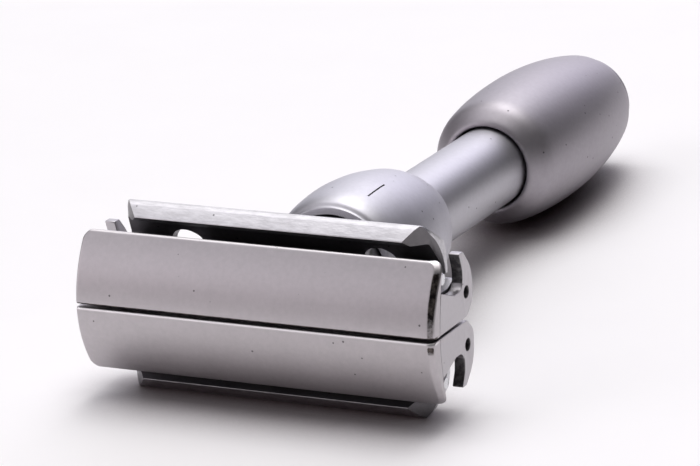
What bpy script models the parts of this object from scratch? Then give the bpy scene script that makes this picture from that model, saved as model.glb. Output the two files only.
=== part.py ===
"""Adjustable butterfly safety razor, lying on a table as it rests.

Every piece is modelled in the razor's own frame: Z runs along the handle towards the
head, X along the blade and Y across it, and a depth is measured back from the crown of
the doors. One empty lays the whole razor down on its guard rim and its knob, with the
middle of its footprint at the origin and the handle pointing to +Y. All sizes are metres.
"""

import math

import bmesh
import bpy
from mathutils import Matrix, Vector

# How pieces meet
SEAT_GAP = 0.0003
RUNNING_GAP = 0.0002
JOINT_LINE = 0.0001
OVERRUN = 0.0010
WELD_DISTANCE = 0.000001

# Fineness of round shapes
TURN_STEPS = 40
SMALL_TURN_STEPS = 20
HOLE_SIDES = 20
ARC_STEP = math.radians(18)
SMOOTH_ANGLE = math.radians(35)

# Doors: two caps that close over the blade, each with an end plate at both ends
DOOR_LENGTH = 0.0480
DOOR_HALF_WIDTH = 0.00896
DOOR_EDGE_DEPTH = 0.00337
SEAM_GAP = 0.0003
SEAM_THICKNESS = 0.00195
SEAM_EDGE_RADIUS = 0.0004
EDGE_THICKNESS = 0.00025
DOOR_CORNER_RADIUS = 0.0016
END_CHAMFER_LENGTH = 0.0006
END_CHAMFER_DEPTH = 0.0004
CROWN_POINTS = 10

END_PLATE_THICKNESS = 0.0014
END_PLATE_BACK = 0.0121
SEAM_FOOT_DEPTH = 0.0102
SEAM_FOOT_RADIUS = 0.0016
HEEL_HALF_WIDTH = 0.0019
HEEL_RADIUS = 0.0018
SHOULDER_HALF_WIDTH = 0.0058
SHOULDER_RADIUS = 0.0028
TINE_TIP_HALF_WIDTH = 0.00825
TINE_TIP_FRONT = 0.0082
TINE_BACK = 0.0095
TINE_FRONT_RADIUS = 0.0003
TINE_BACK_RADIUS = 0.0004
TINE_ROOT_HALF_WIDTH = 0.0063
TINE_ROOT_FRONT = 0.0091
TINE_ROOT_RADIUS = 0.0020
NOTCH_FLOOR_HALF_WIDTH = 0.0039
NOTCH_FLOOR_FRONT = 0.0066
NOTCH_BACK_RADIUS = 0.0011
NOTCH_FRONT_RADIUS = 0.0010
CHEEK_HALF_WIDTH = 0.0053
CHEEK_SHARES = (1.0, 0.75, 0.5, 0.25)

PIVOT_DEPTH = 0.01016
PIVOT_HALF_SPACING = 0.00333
PIVOT_PIN_RADIUS = 0.00055
PIVOT_PIN_RECESS = 0.0007

# Blade tray: the fixed ledges that the blade lies on, with a channel for the centre bar
LEDGE_DEPTH = 0.0036
TRAY_ARM_CLEARANCE = 0.0005
TRAY_HALF_WIDTH = 0.0080
TRAY_FOOT_HALF_WIDTH = 0.0066
TRAY_FLOOR_THICKNESS = 0.0008
BAR_CLEARANCE = 0.0006
CHANNEL_CLEARANCE = 0.0005
TRAY_CORNER_RADIUS = 0.0003
BOSS_RADIUS = 0.0040
BOSS_BORE_RADIUS = 0.0029
BOSS_LENGTH = 0.0046

CAM_PIN_RADIUS = 0.0006
CAM_PIN_DROP = 0.0009
CAM_PIN_INSET = 0.0010
CAM_PIN_SEAT_LENGTH = 0.0026
CAM_PIN_SETBACK = 0.0005

# Centre bar: the moving carriage that lifts the doors
BAR_FRONT = 0.0050
BAR_THICKNESS = 0.0023
BAR_HALF_WIDTH = 0.0041
SPINE_CLEARANCE = 0.00065
SPINE_HALF_WIDTH = 0.0007
SPINE_HALF_LENGTH = 0.0175
SPINE_END_RADIUS = 0.0010
ARM_THICKNESS = 0.0013
ARM_HEEL = 0.00124
ARM_SIDE = 0.00147
ARM_WAIST_RISE = 0.00166
ARM_CORNER_RADIUS = 0.0010
STUD_TIP_SETBACK = 0.0006
STUD_RADIUS = 0.0011

# Guard: a shallow trough whose two long rims are the safety bars
RIDGE_DEPTH = 0.00505
RIDGE_HALF_SPAN = 0.01053
RIDGE_WIDTH = 0.0003
RIM_DEPTH = 0.00667
RIM_HALF_SPAN = 0.01216
RIM_FLAT_SHARE = 0.80
RIM_HEEL_DEPTH = 0.0078
RIM_HEEL_HALF_SPAN = 0.01172
GUARD_END_SETBACK = 0.0026
RIDGE_END_SETBACK = 0.00292
RIM_END_SETBACK = 0.0020
KNEE_END_SETBACK = 0.00095
GUARD_SHOULDER_HALF_SPAN = 0.0082
GUARD_SHOULDER_POINTS = 7
GUARD_FLOOR_THICKNESS = 0.0017
GUARD_BACK_HALF_SPAN = 0.0092
TROUGH_WALL_HALF_SPAN = 0.0097
TROUGH_WALL_FOOT = 0.0074
TROUGH_FLOOR_HALF_SPAN = 0.0070
TROUGH_CORNER_RADIUS = 0.0012
RIM_END_KNEE_DEPTH = 0.0079
ARM_SLOT_CLEARANCE = 0.0005
DRAIN_RADIUS = 0.0024
DRAIN_OFFSET = 0.0131
DRAIN_HALF_SPACING = 0.0059

SCREW_OFFSET = 0.0066
SCREW_SHANK_RADIUS = 0.0006
SCREW_HEAD_RADIUS = 0.0012
SCREW_HEAD_THICKNESS = 0.0007

# Guard sleeve: slides on the neck and carries the guard
SLEEVE_FLANGE_RADIUS = 0.0084
SLEEVE_FLANGE_THICKNESS = 0.0014
SLEEVE_RADIUS = 0.0055
SLEEVE_COLLAR_RADIUS = 0.0070
SLEEVE_COLLAR_REACH = 0.0017
SLEEVE_RING_ROOM = 0.0016
SPRING_POCKET_RADIUS = 0.0061
SPRING_POCKET_SETBACK = 0.0030

GUARD_TRAVEL = 0.0004
SPRING_WIRE_RADIUS = 0.0003
SPRING_MEAN_RADIUS = 0.0051
SPRING_TURNS = 7
SPRING_POINTS_PER_TURN = 9

# Neck: joins the tray to the handle and guides the drive rod
NECK_RADIUS = 0.0040
NECK_BORE_RADIUS = 0.0021
NECK_SPIGOT_LENGTH = 0.0029
NECK_SEAT_LENGTH = 0.0133

# Adjusting dial
DIAL_FRONT = 0.0232
DIAL_LENGTH = 0.0236
DIAL_MAX_RADIUS = 0.00973
DIAL_CAVITY_RADIUS = 0.0074
DIAL_LIP_DEPTH = 0.0005
DIAL_OUTLINE_SHARES = (
    (0.000, 0.782), (0.010, 0.845), (0.032, 0.900), (0.070, 0.940), (0.125, 0.967),
    (0.200, 0.985), (0.300, 0.999), (0.360, 1.000), (0.450, 0.989), (0.560, 0.964),
    (0.660, 0.922), (0.760, 0.872), (0.850, 0.795), (0.930, 0.705), (0.980, 0.645),
    (1.000, 0.620),
)
MARK_ANGLE = math.radians(69)
MARK_SETBACK = 0.0030
MARK_LENGTH = 0.0060
MARK_WIDTH = 0.0003
MARK_CUT = 0.0002

SNAP_RING_THICKNESS = 0.0007
SNAP_RING_INNER_RADIUS = 0.0063
SNAP_RING_OUTER_RADIUS = 0.0078
SNAP_RING_OPENING = math.radians(28)
RING_POINTS = 30

DETENT_BALL_RADIUS = 0.0006
DETENT_REACH = 0.00715
DETENT_POCKET_FLOOR = 0.0028
DETENT_WIRE_RADIUS = 0.00014
DETENT_COIL_RADIUS = 0.0004
DETENT_TURNS = 3
DIMPLE_COUNT = 9
DIMPLE_RADIUS = 0.0007
DIMPLE_DEPTH = 0.0003
DIMPLE_SIDES = 10

# Handle tube
HANDLE_RADIUS = 0.00554
FLANGE_RADIUS = 0.00705
FLANGE_SETBACK = 0.0135
FLANGE_THICKNESS = 0.0024
GRIP_LENGTH = 0.0263
KNOB_MOUTH_DEPTH = 0.0057
JOURNAL_RADIUS = 0.0042
JOURNAL_LENGTH = 0.0167
HANDLE_EDGE = 0.0003

BUSH_RADIUS = 0.0029
BUSH_BORE_RADIUS = 0.00195
BUSH_LENGTH = 0.0070

DRIVE_ROD_RADIUS = 0.0017
DRIVE_ROD_SETBACK = 0.0027
LOCK_NUT_RADIUS = 0.0026
LOCK_NUT_THICKNESS = 0.0016

# Twist knob
KNOB_LENGTH = 0.0361
KNOB_MAX_RADIUS = 0.00962
KNOB_MOUTH_GAP = 0.0003
KNOB_OUTLINE_SHARES = (
    (0.000, 0.655), (0.006, 0.725), (0.030, 0.815), (0.070, 0.880), (0.130, 0.930),
    (0.220, 0.968), (0.330, 0.992), (0.430, 1.000), (0.530, 0.995), (0.640, 0.972),
    (0.740, 0.935), (0.830, 0.887), (0.910, 0.832), (0.970, 0.778), (1.000, 0.727),
)
CLIP_ROOM_RADIUS = 0.0057
NUT_ROOM_RADIUS = 0.0061

WASHER_THICKNESS = 0.0008
FRICTION_RING_SETBACK = 0.0067
FRICTION_RING_WIRE = 0.00042
FRICTION_RING_SIDES = 8
FRICTION_RING_RADIUS = 0.0038
CLIP_SETBACK = 0.0043
CLIP_THICKNESS = 0.0009
CLIP_GROOVE_RADIUS = 0.0034
CLIP_INNER_RADIUS = 0.0037
CLIP_OUTER_RADIUS = 0.0053
CLIP_OPENING = math.radians(60)

DRIVE_NUT_THICKNESS = 0.0045
END_CAP_RADIUS = 0.0067
END_CAP_LENGTH = 0.0020
END_CAP_EDGE = 0.0007
SPIGOT_BORE_RADIUS = 0.0026

# Colours
SATIN_CHROME = (0.56, 0.56, 0.60, 1.0)
DARK_CHROME = (0.40, 0.40, 0.43, 1.0)
STEEL = (0.48, 0.48, 0.50, 1.0)
BRASS = (0.62, 0.48, 0.22, 1.0)
RUBBER = (0.03, 0.03, 0.03, 1.0)
NYLON = (0.80, 0.79, 0.74, 1.0)

# Directions that an outline is extruded in: along Z, along X and along Y
ALONG_HANDLE = Matrix.Identity(4)
ALONG_BLADE = Matrix(((0, 0, 1, 0), (1, 0, 0, 0), (0, 1, 0, 0), (0, 0, 0, 1)))
ACROSS_BLADE = Matrix(((1, 0, 0, 0), (0, 0, -1, 0), (0, 1, 0, 0), (0, 0, 0, 1)))

# Sizes that follow from the ones above
HALF_LENGTH = DOOR_LENGTH / 2
PLATE_INNER = HALF_LENGTH - END_PLATE_THICKNESS
PIVOT_HOLE_RADIUS = PIVOT_PIN_RADIUS + RUNNING_GAP
ARM_OUTER = PLATE_INNER - SEAT_GAP
ARM_INNER = ARM_OUTER - ARM_THICKNESS
ARM_BACK = PIVOT_DEPTH + ARM_HEEL
ARM_WAIST_DEPTH = PIVOT_DEPTH - ARM_WAIST_RISE
ARM_HALF_WIDTH = PIVOT_HALF_SPACING + ARM_SIDE
BAR_BACK = BAR_FRONT + BAR_THICKNESS
SPINE_FRONT = SEAM_THICKNESS + SPINE_CLEARANCE
STUD_TIP_DEPTH = BAR_FRONT + STUD_TIP_SETBACK
TRAY_HALF_LENGTH = ARM_INNER - TRAY_ARM_CLEARANCE
TRAY_BACK = BAR_BACK + BAR_CLEARANCE + TRAY_FLOOR_THICKNESS
CHANNEL_HALF_WIDTH = BAR_HALF_WIDTH + CHANNEL_CLEARANCE
BOSS_END = TRAY_BACK + BOSS_LENGTH
CAM_PIN_DEPTH = LEDGE_DEPTH + CAM_PIN_DROP
CAM_PIN_HALF_SPACING = TRAY_HALF_WIDTH - CAM_PIN_INSET
GUARD_FRONT_FLOOR = TRAY_BACK + GUARD_TRAVEL + SEAT_GAP
GUARD_BACK = GUARD_FRONT_FLOOR + GUARD_FLOOR_THICKNESS
GUARD_HALF_LENGTH = HALF_LENGTH - GUARD_END_SETBACK
RIDGE_HALF_LENGTH = GUARD_HALF_LENGTH - RIDGE_END_SETBACK
RIM_HALF_LENGTH = GUARD_HALF_LENGTH - RIM_END_SETBACK
KNEE_HALF_LENGTH = GUARD_HALF_LENGTH - KNEE_END_SETBACK
GUARD_BORE_RADIUS = BOSS_RADIUS + SEAT_GAP
DIAL_END = DIAL_FRONT + DIAL_LENGTH
MARK_FRONT = DIAL_FRONT + MARK_SETBACK
FLANGE_FRONT = DIAL_FRONT + FLANGE_SETBACK
FLANGE_BACK = FLANGE_FRONT + FLANGE_THICKNESS
DIAL_WALL_FRONT = FLANGE_BACK + SEAT_GAP
DIAL_BORE_RADIUS = HANDLE_RADIUS + SEAT_GAP
SNAP_RING_DEPTH = FLANGE_FRONT - SEAT_GAP - SNAP_RING_THICKNESS
DETENT_DEPTH = FLANGE_FRONT + FLANGE_THICKNESS / 2
DETENT_POCKET_RADIUS = DETENT_BALL_RADIUS + RUNNING_GAP
SLEEVE_FRONT = GUARD_BACK + SEAT_GAP
SLEEVE_COLLAR_FRONT = DIAL_FRONT - SLEEVE_COLLAR_REACH
SLEEVE_END = SNAP_RING_DEPTH - SLEEVE_RING_ROOM
SPRING_POCKET_FRONT = SLEEVE_COLLAR_FRONT + SPRING_POCKET_SETBACK
NECK_SPIGOT_FRONT = BOSS_END - NECK_SPIGOT_LENGTH
NECK_END = FLANGE_FRONT + NECK_SEAT_LENGTH
KNOB_FRONT = DIAL_END + GRIP_LENGTH
KNOB_END = KNOB_FRONT + KNOB_LENGTH
HANDLE_SHOULDER = KNOB_FRONT + KNOB_MOUTH_DEPTH
KNOB_STEP = HANDLE_SHOULDER + WASHER_THICKNESS + 2 * RUNNING_GAP
BEARING_RADIUS = JOURNAL_RADIUS + RUNNING_GAP
JOURNAL_END = HANDLE_SHOULDER + JOURNAL_LENGTH
FRICTION_RING_DEPTH = HANDLE_SHOULDER + FRICTION_RING_SETBACK
CLIP_DEPTH = JOURNAL_END - CLIP_SETBACK
KNOB_BEARING_END = CLIP_DEPTH - 2 * RUNNING_GAP
NUT_ROOM_FRONT = JOURNAL_END + RUNNING_GAP
DRIVE_NUT_FRONT = NUT_ROOM_FRONT + SEAT_GAP
DRIVE_NUT_END = DRIVE_NUT_FRONT + DRIVE_NUT_THICKNESS
DRIVE_ROD_END = KNOB_END - DRIVE_ROD_SETBACK
SPIGOT_FRONT = DRIVE_NUT_END + SEAT_GAP
SPIGOT_RADIUS = NUT_ROOM_RADIUS - RUNNING_GAP
END_CAP_END = KNOB_END + END_CAP_LENGTH


def clear_scene():
    """Remove every object, so that only the razor is left."""
    for thing in list(bpy.data.objects):
        bpy.data.objects.remove(thing, do_unlink=True)


def new_collection(name):
    """Make a collection of the scene."""
    group = bpy.data.collections.new(name)
    bpy.context.scene.collection.children.link(group)
    return group


def finish(name, colour, roughness, metallic):
    """Make a plain material."""
    material = bpy.data.materials.new(name)
    material.use_nodes = True
    shader = material.node_tree.nodes["Principled BSDF"]
    shader.inputs["Base Color"].default_value = colour
    shader.inputs["Roughness"].default_value = roughness
    shader.inputs["Metallic"].default_value = metallic
    return material


def add_piece(name, mesh):
    """Put a mesh in the scene as a named sub-part."""
    piece = bpy.data.objects.new(name, mesh)
    RAZOR.objects.link(piece)
    return piece


def shade(piece):
    """Shade the round stretches smooth and keep the edges sharp."""
    piece.data.shade_smooth()
    piece.data.set_sharp_from_angle(angle=SMOOTH_ANGLE)


def arc(centre, radius, start, end, count):
    """Points along an arc, both ends included."""
    points = []
    for step in range(count + 1):
        angle = start + (end - start) * step / count
        points.append((centre[0] + radius * math.cos(angle), centre[1] + radius * math.sin(angle)))
    return points


def circle(centre, radius, sides=HOLE_SIDES):
    """Points of a closed circle."""
    return arc(centre, radius, 0, math.tau, sides)[:-1]


def rounded(corners):
    """Outline points through corners given as (u, v, radius)."""
    points = []
    for index, (u, v, radius) in enumerate(corners):
        corner = Vector((u, v))
        if radius == 0:
            points.append((u, v))
            continue
        before = (Vector(corners[index - 1][:2]) - corner).normalized()
        after = (Vector(corners[(index + 1) % len(corners)][:2]) - corner).normalized()
        half = before.angle(after) / 2
        centre = corner + (before + after).normalized() * radius / math.sin(half)
        first = corner + before * radius / math.tan(half) - centre
        last = corner + after * radius / math.tan(half) - centre
        start = math.atan2(first.y, first.x)
        sweep = (math.atan2(last.y, last.x) - start + math.pi) % math.tau - math.pi
        count = max(1, math.ceil(abs(sweep) / ARC_STEP))
        points += arc(centre, radius, start, start + sweep, count)
    return points


def smooth_profile(shares, front, end, radius):
    """Turned outline as (radius, depth) from shares of its length and its largest radius."""
    return [(across * radius, front + along * (end - front)) for along, across in shares]


def prism(name, outlines, low, high, direction):
    """Closed mesh of flat outlines, the later ones holes, extruded from low to high."""
    curve = bpy.data.curves.new(name, 'CURVE')
    curve.dimensions = '2D'
    curve.fill_mode = 'BOTH'
    curve.extrude = (high - low) / 2
    for outline in outlines:
        spline = curve.splines.new('POLY')
        spline.points.add(len(outline) - 1)
        for point, (u, v) in zip(spline.points, outline):
            point.co = (u, v, 0, 1)
        spline.use_cyclic_u = True
    carrier = bpy.data.objects.new(name, curve)
    bpy.context.scene.collection.objects.link(carrier)
    mesh = mesh_of_curve(carrier, name)
    mesh.transform(direction @ Matrix.Translation((0, 0, (high + low) / 2)))
    return mesh


def mesh_of_curve(carrier, name):
    """Mesh of a curve object with its caps welded on; the curve is removed."""
    bpy.context.view_layer.update()
    depsgraph = bpy.context.evaluated_depsgraph_get()
    mesh = bpy.data.meshes.new_from_object(carrier.evaluated_get(depsgraph))
    mesh.name = name
    work = bmesh.new()
    work.from_mesh(mesh)
    bmesh.ops.remove_doubles(work, verts=work.verts, dist=WELD_DISTANCE)
    bmesh.ops.recalc_face_normals(work, faces=work.faces)
    work.to_mesh(mesh)
    work.free()
    bpy.data.objects.remove(carrier, do_unlink=True)
    return mesh


def block(name, low, high):
    """Closed mesh of a box between two corners."""
    low, high = Vector(low), Vector(high)
    size = Matrix.Diagonal((*(high - low), 1))
    work = bmesh.new()
    bmesh.ops.create_cube(work, size=1, matrix=Matrix.Translation((low + high) / 2) @ size)
    mesh = bpy.data.meshes.new(name)
    work.to_mesh(mesh)
    work.free()
    return mesh


def rods(name, radius, ends, sides=HOLE_SIDES):
    """One mesh with a cylinder between each pair of points."""
    work = bmesh.new()
    for start, end in ends:
        start, end = Vector(start), Vector(end)
        along = end - start
        turn = along.to_track_quat('Z', 'Y').to_matrix().to_4x4()
        place = Matrix.Translation((start + end) / 2) @ turn
        bmesh.ops.create_cone(work, cap_ends=True, segments=sides, radius1=radius,
                              radius2=radius, depth=along.length, matrix=place)
    mesh = bpy.data.meshes.new(name)
    work.to_mesh(mesh)
    work.free()
    return mesh


def turned(name, profile, closed, steps=TURN_STEPS):
    """A piece turned about the handle's axis from a (radius, depth) profile."""
    mesh = bpy.data.meshes.new(name)
    edges = [(index, index + 1) for index in range(len(profile) - 1)]
    if closed:
        edges.append((len(profile) - 1, 0))
    mesh.from_pydata([(radius, 0, -depth) for radius, depth in profile], edges, [])
    piece = add_piece(name, mesh)
    screw = piece.modifiers.new("turn", 'SCREW')
    screw.steps = steps
    screw.render_steps = steps
    screw.use_merge_vertices = True
    screw.merge_threshold = WELD_DISTANCE
    screw.use_smooth_shade = True
    return piece


def combine(piece, tool_mesh, operation):
    """Cut a piece by, join it with, or keep it inside a tool shape."""
    tool = bpy.data.objects.new(tool_mesh.name, tool_mesh)
    CUTTERS.objects.link(tool)
    tool.hide_render = True
    tool.display_type = 'WIRE'
    change = piece.modifiers.new(tool_mesh.name, 'BOOLEAN')
    change.operation = operation
    change.solver = 'EXACT'
    change.object = tool
    tool.parent = piece


def coil(name, mean_radius, wire_radius, start, end, turns, points_per_turn):
    """A helical spring as one tube along Z from one depth to another."""
    curve = bpy.data.curves.new(name, 'CURVE')
    curve.dimensions = '3D'
    curve.bevel_depth = wire_radius
    curve.bevel_resolution = 1
    curve.use_fill_caps = True
    count = turns * points_per_turn
    spline = curve.splines.new('POLY')
    spline.points.add(count)
    low, high = start + wire_radius, end - wire_radius
    for index, point in enumerate(spline.points):
        share = index / count
        angle = math.tau * turns * share
        depth = low + (high - low) * share
        point.co = (mean_radius * math.cos(angle), mean_radius * math.sin(angle), -depth, 1)
    carrier = bpy.data.objects.new(name, curve)
    bpy.context.scene.collection.objects.link(carrier)
    pitch = (high - low) / turns
    print(name, "least gap between curls, mm:", round((pitch - 2 * wire_radius) / 0.001, 2))
    return mesh_of_curve(carrier, name)


def split_ring(name, inner, outer, opening, front, thickness):
    """A flat ring with a gap, square to the handle."""
    start, end = opening / 2, math.tau - opening / 2
    outline = arc((0, 0), outer, start, end, RING_POINTS)
    outline += arc((0, 0), inner, end, start, RING_POINTS)
    return prism(name, [outline], -front - thickness, -front, ALONG_HANDLE)


def crown_depth(across):
    """Depth of the door's outer surface at a distance from the seam plane."""
    return DOOR_EDGE_DEPTH * (across / DOOR_HALF_WIDTH) ** 2


def underside_depth(across):
    """Depth of the door's underside at a distance from the seam plane."""
    growth = DOOR_EDGE_DEPTH + EDGE_THICKNESS - SEAM_THICKNESS
    return SEAM_THICKNESS + growth * (across / DOOR_HALF_WIDTH) ** 2


def end_chamfer(side, end):
    """Cutter that follows the crown and drops away towards one end of the door."""
    reach = DOOR_HALF_WIDTH + OVERRUN
    outline = [(-side * OVERRUN, OVERRUN)]
    for step in range(CROWN_POINTS + 1):
        across = reach * step / CROWN_POINTS
        outline.append((side * across, -crown_depth(across)))
    outline.insert(1, (-side * OVERRUN, 0))
    outline.append((side * reach, OVERRUN))
    start = HALF_LENGTH - END_CHAMFER_LENGTH
    low, high = sorted((end * (start - OVERRUN), end * (HALF_LENGTH + OVERRUN)))
    tool = prism("end_chamfer", [outline], low, high, ALONG_BLADE)
    fall = END_CHAMFER_DEPTH / END_CHAMFER_LENGTH
    tool.transform(Matrix(((1, 0, 0, 0), (0, 1, 0, 0), (-end * fall, 0, 1, fall * start), (0, 0, 0, 1))))
    return tool


def door_cap(name, side):
    """The curved cap of one door; side is 1 for the upper door and -1 for the lower."""
    seam = SEAM_GAP / 2
    reach = DOOR_HALF_WIDTH + EDGE_THICKNESS
    section = [(seam, -underside_depth(seam), 0), (seam, -crown_depth(seam), SEAM_EDGE_RADIUS)]
    for step in range(1, CROWN_POINTS + 1):
        across = seam + (reach - seam) * step / CROWN_POINTS
        section.append((across, -crown_depth(across), 0))
    for step in range(CROWN_POINTS, 0, -2):
        across = seam + (reach - seam) * step / CROWN_POINTS
        section.append((across, -underside_depth(across), 0))
    outline = [(side * u, v) for u, v in rounded(section)]
    overlong = HALF_LENGTH + OVERRUN
    cap = add_piece(name, prism(name, [outline], -overlong, overlong, ALONG_BLADE))
    low, high = -OVERRUN, DOOR_HALF_WIDTH
    face = rounded([(-HALF_LENGTH, low, 0), (HALF_LENGTH, low, 0),
                    (HALF_LENGTH, high, DOOR_CORNER_RADIUS), (-HALF_LENGTH, high, DOOR_CORNER_RADIUS)])
    face = [(u, side * v) for u, v in face]
    back = DOOR_EDGE_DEPTH + OVERRUN + EDGE_THICKNESS
    combine(cap, prism(name + "_face", [face], -back, OVERRUN, ALONG_HANDLE), 'INTERSECT')
    for end in (-1, 1):
        combine(cap, end_chamfer(side, end), 'DIFFERENCE')
    return cap


def door_end(name, side, end):
    """The hooked end plate of a door; end is 1 at +X and -1 at -X."""
    seam = SEAM_GAP / 2
    front = []
    for across in [CHEEK_HALF_WIDTH * share for share in CHEEK_SHARES] + [seam]:
        front.append((across, -underside_depth(across) - JOINT_LINE, 0))
    corners = front + [
        (seam, -SEAM_FOOT_DEPTH, SEAM_FOOT_RADIUS),
        (HEEL_HALF_WIDTH, -END_PLATE_BACK, HEEL_RADIUS),
        (SHOULDER_HALF_WIDTH, -END_PLATE_BACK, SHOULDER_RADIUS),
        (TINE_TIP_HALF_WIDTH, -TINE_BACK, TINE_BACK_RADIUS),
        (TINE_TIP_HALF_WIDTH, -TINE_TIP_FRONT, TINE_FRONT_RADIUS),
        (TINE_ROOT_HALF_WIDTH, -TINE_ROOT_FRONT, TINE_ROOT_RADIUS),
        (NOTCH_FLOOR_HALF_WIDTH, -TINE_ROOT_FRONT, NOTCH_BACK_RADIUS),
        (NOTCH_FLOOR_HALF_WIDTH, -NOTCH_FLOOR_FRONT, NOTCH_FRONT_RADIUS),
    ]
    outline = [(side * u, v) for u, v in rounded(corners)]
    hole = circle((side * PIVOT_HALF_SPACING, -PIVOT_DEPTH), PIVOT_HOLE_RADIUS)
    low, high = sorted((end * PLATE_INNER, end * HALF_LENGTH))
    return add_piece(name, prism(name, [outline, hole], low, high, ALONG_BLADE))


def four_pins(name, radius, inner, outer, half_spacing, depth):
    """A pin along the blade at each corner of the head, from inner to outer."""
    pins = []
    for door, side in (("upper", 1), ("lower", -1)):
        for hand, end in (("right", 1), ("left", -1)):
            start = (end * inner, side * half_spacing, -depth)
            tip = (end * outer, side * half_spacing, -depth)
            label = "_".join((name, door, hand))
            pins.append(add_piece(label, rods(label, radius, [(start, tip)])))
    return pins


def door_hinge_pins():
    """Four pins that join the doors to the centre bar's arms."""
    outer = HALF_LENGTH - PIVOT_PIN_RECESS
    return four_pins("door_hinge_pin", PIVOT_PIN_RADIUS, ARM_INNER, outer, PIVOT_HALF_SPACING,
                     PIVOT_DEPTH)


def centre_bar():
    """The carriage: a bar with a spine for the blade's slot and an arm at each end."""
    into_arm = ARM_INNER + RUNNING_GAP
    low, high = (-into_arm, -BAR_HALF_WIDTH, -BAR_BACK), (into_arm, BAR_HALF_WIDTH, -BAR_FRONT)
    bar = add_piece("centre_bar", block("centre_bar", low, high))
    spine_back = (BAR_FRONT + BAR_BACK) / 2
    spine = rounded([(-SPINE_HALF_LENGTH, -spine_back, 0), (SPINE_HALF_LENGTH, -spine_back, 0),
                     (SPINE_HALF_LENGTH, -SPINE_FRONT, SPINE_END_RADIUS),
                     (-SPINE_HALF_LENGTH, -SPINE_FRONT, SPINE_END_RADIUS)])
    combine(bar, prism("bar_spine", [spine], -SPINE_HALF_WIDTH, SPINE_HALF_WIDTH, ACROSS_BLADE), 'UNION')
    half_outline = [(BAR_HALF_WIDTH, -BAR_FRONT, 0), (BAR_HALF_WIDTH, -ARM_WAIST_DEPTH, 0),
                    (ARM_HALF_WIDTH, -PIVOT_DEPTH, 0), (ARM_HALF_WIDTH, -ARM_BACK, ARM_CORNER_RADIUS)]
    other_half = [(-u, v, radius) for u, v, radius in reversed(half_outline)]
    arm = rounded(half_outline + other_half)
    for end in (-1, 1):
        low, high = sorted((end * ARM_INNER, end * ARM_OUTER))
        combine(bar, prism("bar_arm", [arm], low, high, ALONG_BLADE), 'UNION')
    holes = []
    for side in (-1, 1):
        start = (-ARM_OUTER - OVERRUN, side * PIVOT_HALF_SPACING, -PIVOT_DEPTH)
        end = (ARM_OUTER + OVERRUN, side * PIVOT_HALF_SPACING, -PIVOT_DEPTH)
        holes.append((start, end))
    combine(bar, rods("arm_holes", PIVOT_HOLE_RADIUS, holes), 'DIFFERENCE')
    socket = [((0, 0, -BAR_BACK - OVERRUN), (0, 0, -STUD_TIP_DEPTH + SEAT_GAP))]
    combine(bar, rods("stud_socket", STUD_RADIUS + RUNNING_GAP, socket), 'DIFFERENCE')
    return bar


def blade_tray():
    """The fixed channel with the two ledges and the boss that joins the neck."""
    floor_front = TRAY_BACK - TRAY_FLOOR_THICKNESS
    half = [(CHANNEL_HALF_WIDTH, -floor_front, 0),
            (CHANNEL_HALF_WIDTH, -LEDGE_DEPTH, TRAY_CORNER_RADIUS),
            (TRAY_HALF_WIDTH, -LEDGE_DEPTH, TRAY_CORNER_RADIUS),
            (TRAY_FOOT_HALF_WIDTH, -TRAY_BACK, TRAY_CORNER_RADIUS)]
    other_half = [(-u, v, radius) for u, v, radius in reversed(half)]
    outline = rounded(half + other_half)
    channel = prism("blade_tray", [outline], -TRAY_HALF_LENGTH, TRAY_HALF_LENGTH, ALONG_BLADE)
    tray = add_piece("blade_tray", channel)
    boss_front = TRAY_BACK - TRAY_FLOOR_THICKNESS / 2
    boss = rods("tray_boss", BOSS_RADIUS, [((0, 0, -BOSS_END), (0, 0, -boss_front))], TURN_STEPS)
    combine(tray, boss, 'UNION')
    bore = ((0, 0, -BOSS_END - OVERRUN), (0, 0, -LEDGE_DEPTH))
    combine(tray, rods("boss_bore", BOSS_BORE_RADIUS, [bore], TURN_STEPS), 'DIFFERENCE')
    seats = []
    for end in (-1, 1):
        for side in (-1, 1):
            inner = TRAY_HALF_LENGTH - CAM_PIN_SEAT_LENGTH - RUNNING_GAP
            start = (end * inner, side * CAM_PIN_HALF_SPACING, -CAM_PIN_DEPTH)
            seats.append((start, (end * (TRAY_HALF_LENGTH + OVERRUN), start[1], start[2])))
    combine(tray, rods("pin_seats", CAM_PIN_RADIUS + JOINT_LINE, seats), 'DIFFERENCE')
    return tray


def door_cam_pins():
    """Four pins in the tray's ends that the doors' hooks ride on."""
    inner = TRAY_HALF_LENGTH - CAM_PIN_SEAT_LENGTH
    outer = HALF_LENGTH - CAM_PIN_SETBACK
    return four_pins("door_cam_pin", CAM_PIN_RADIUS, inner, outer, CAM_PIN_HALF_SPACING, CAM_PIN_DEPTH)


def guard_face():
    """Front outline of the guard, with its rounded shoulders."""
    quarter = []
    for step in range(GUARD_SHOULDER_POINTS + 1):
        angle = math.pi / 2 * step / GUARD_SHOULDER_POINTS
        along = RIM_HALF_LENGTH + (GUARD_HALF_LENGTH - RIM_HALF_LENGTH) * math.cos(angle)
        rise = (RIM_HALF_SPAN - GUARD_SHOULDER_HALF_SPAN) * math.sin(angle)
        quarter.append((along, GUARD_SHOULDER_HALF_SPAN + rise))
    quarter.append((RIM_HALF_LENGTH, RIM_HALF_SPAN + OVERRUN))
    upper = quarter + [(-u, v) for u, v in reversed(quarter)]
    return upper + [(-u, -v) for u, v in upper]


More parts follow.
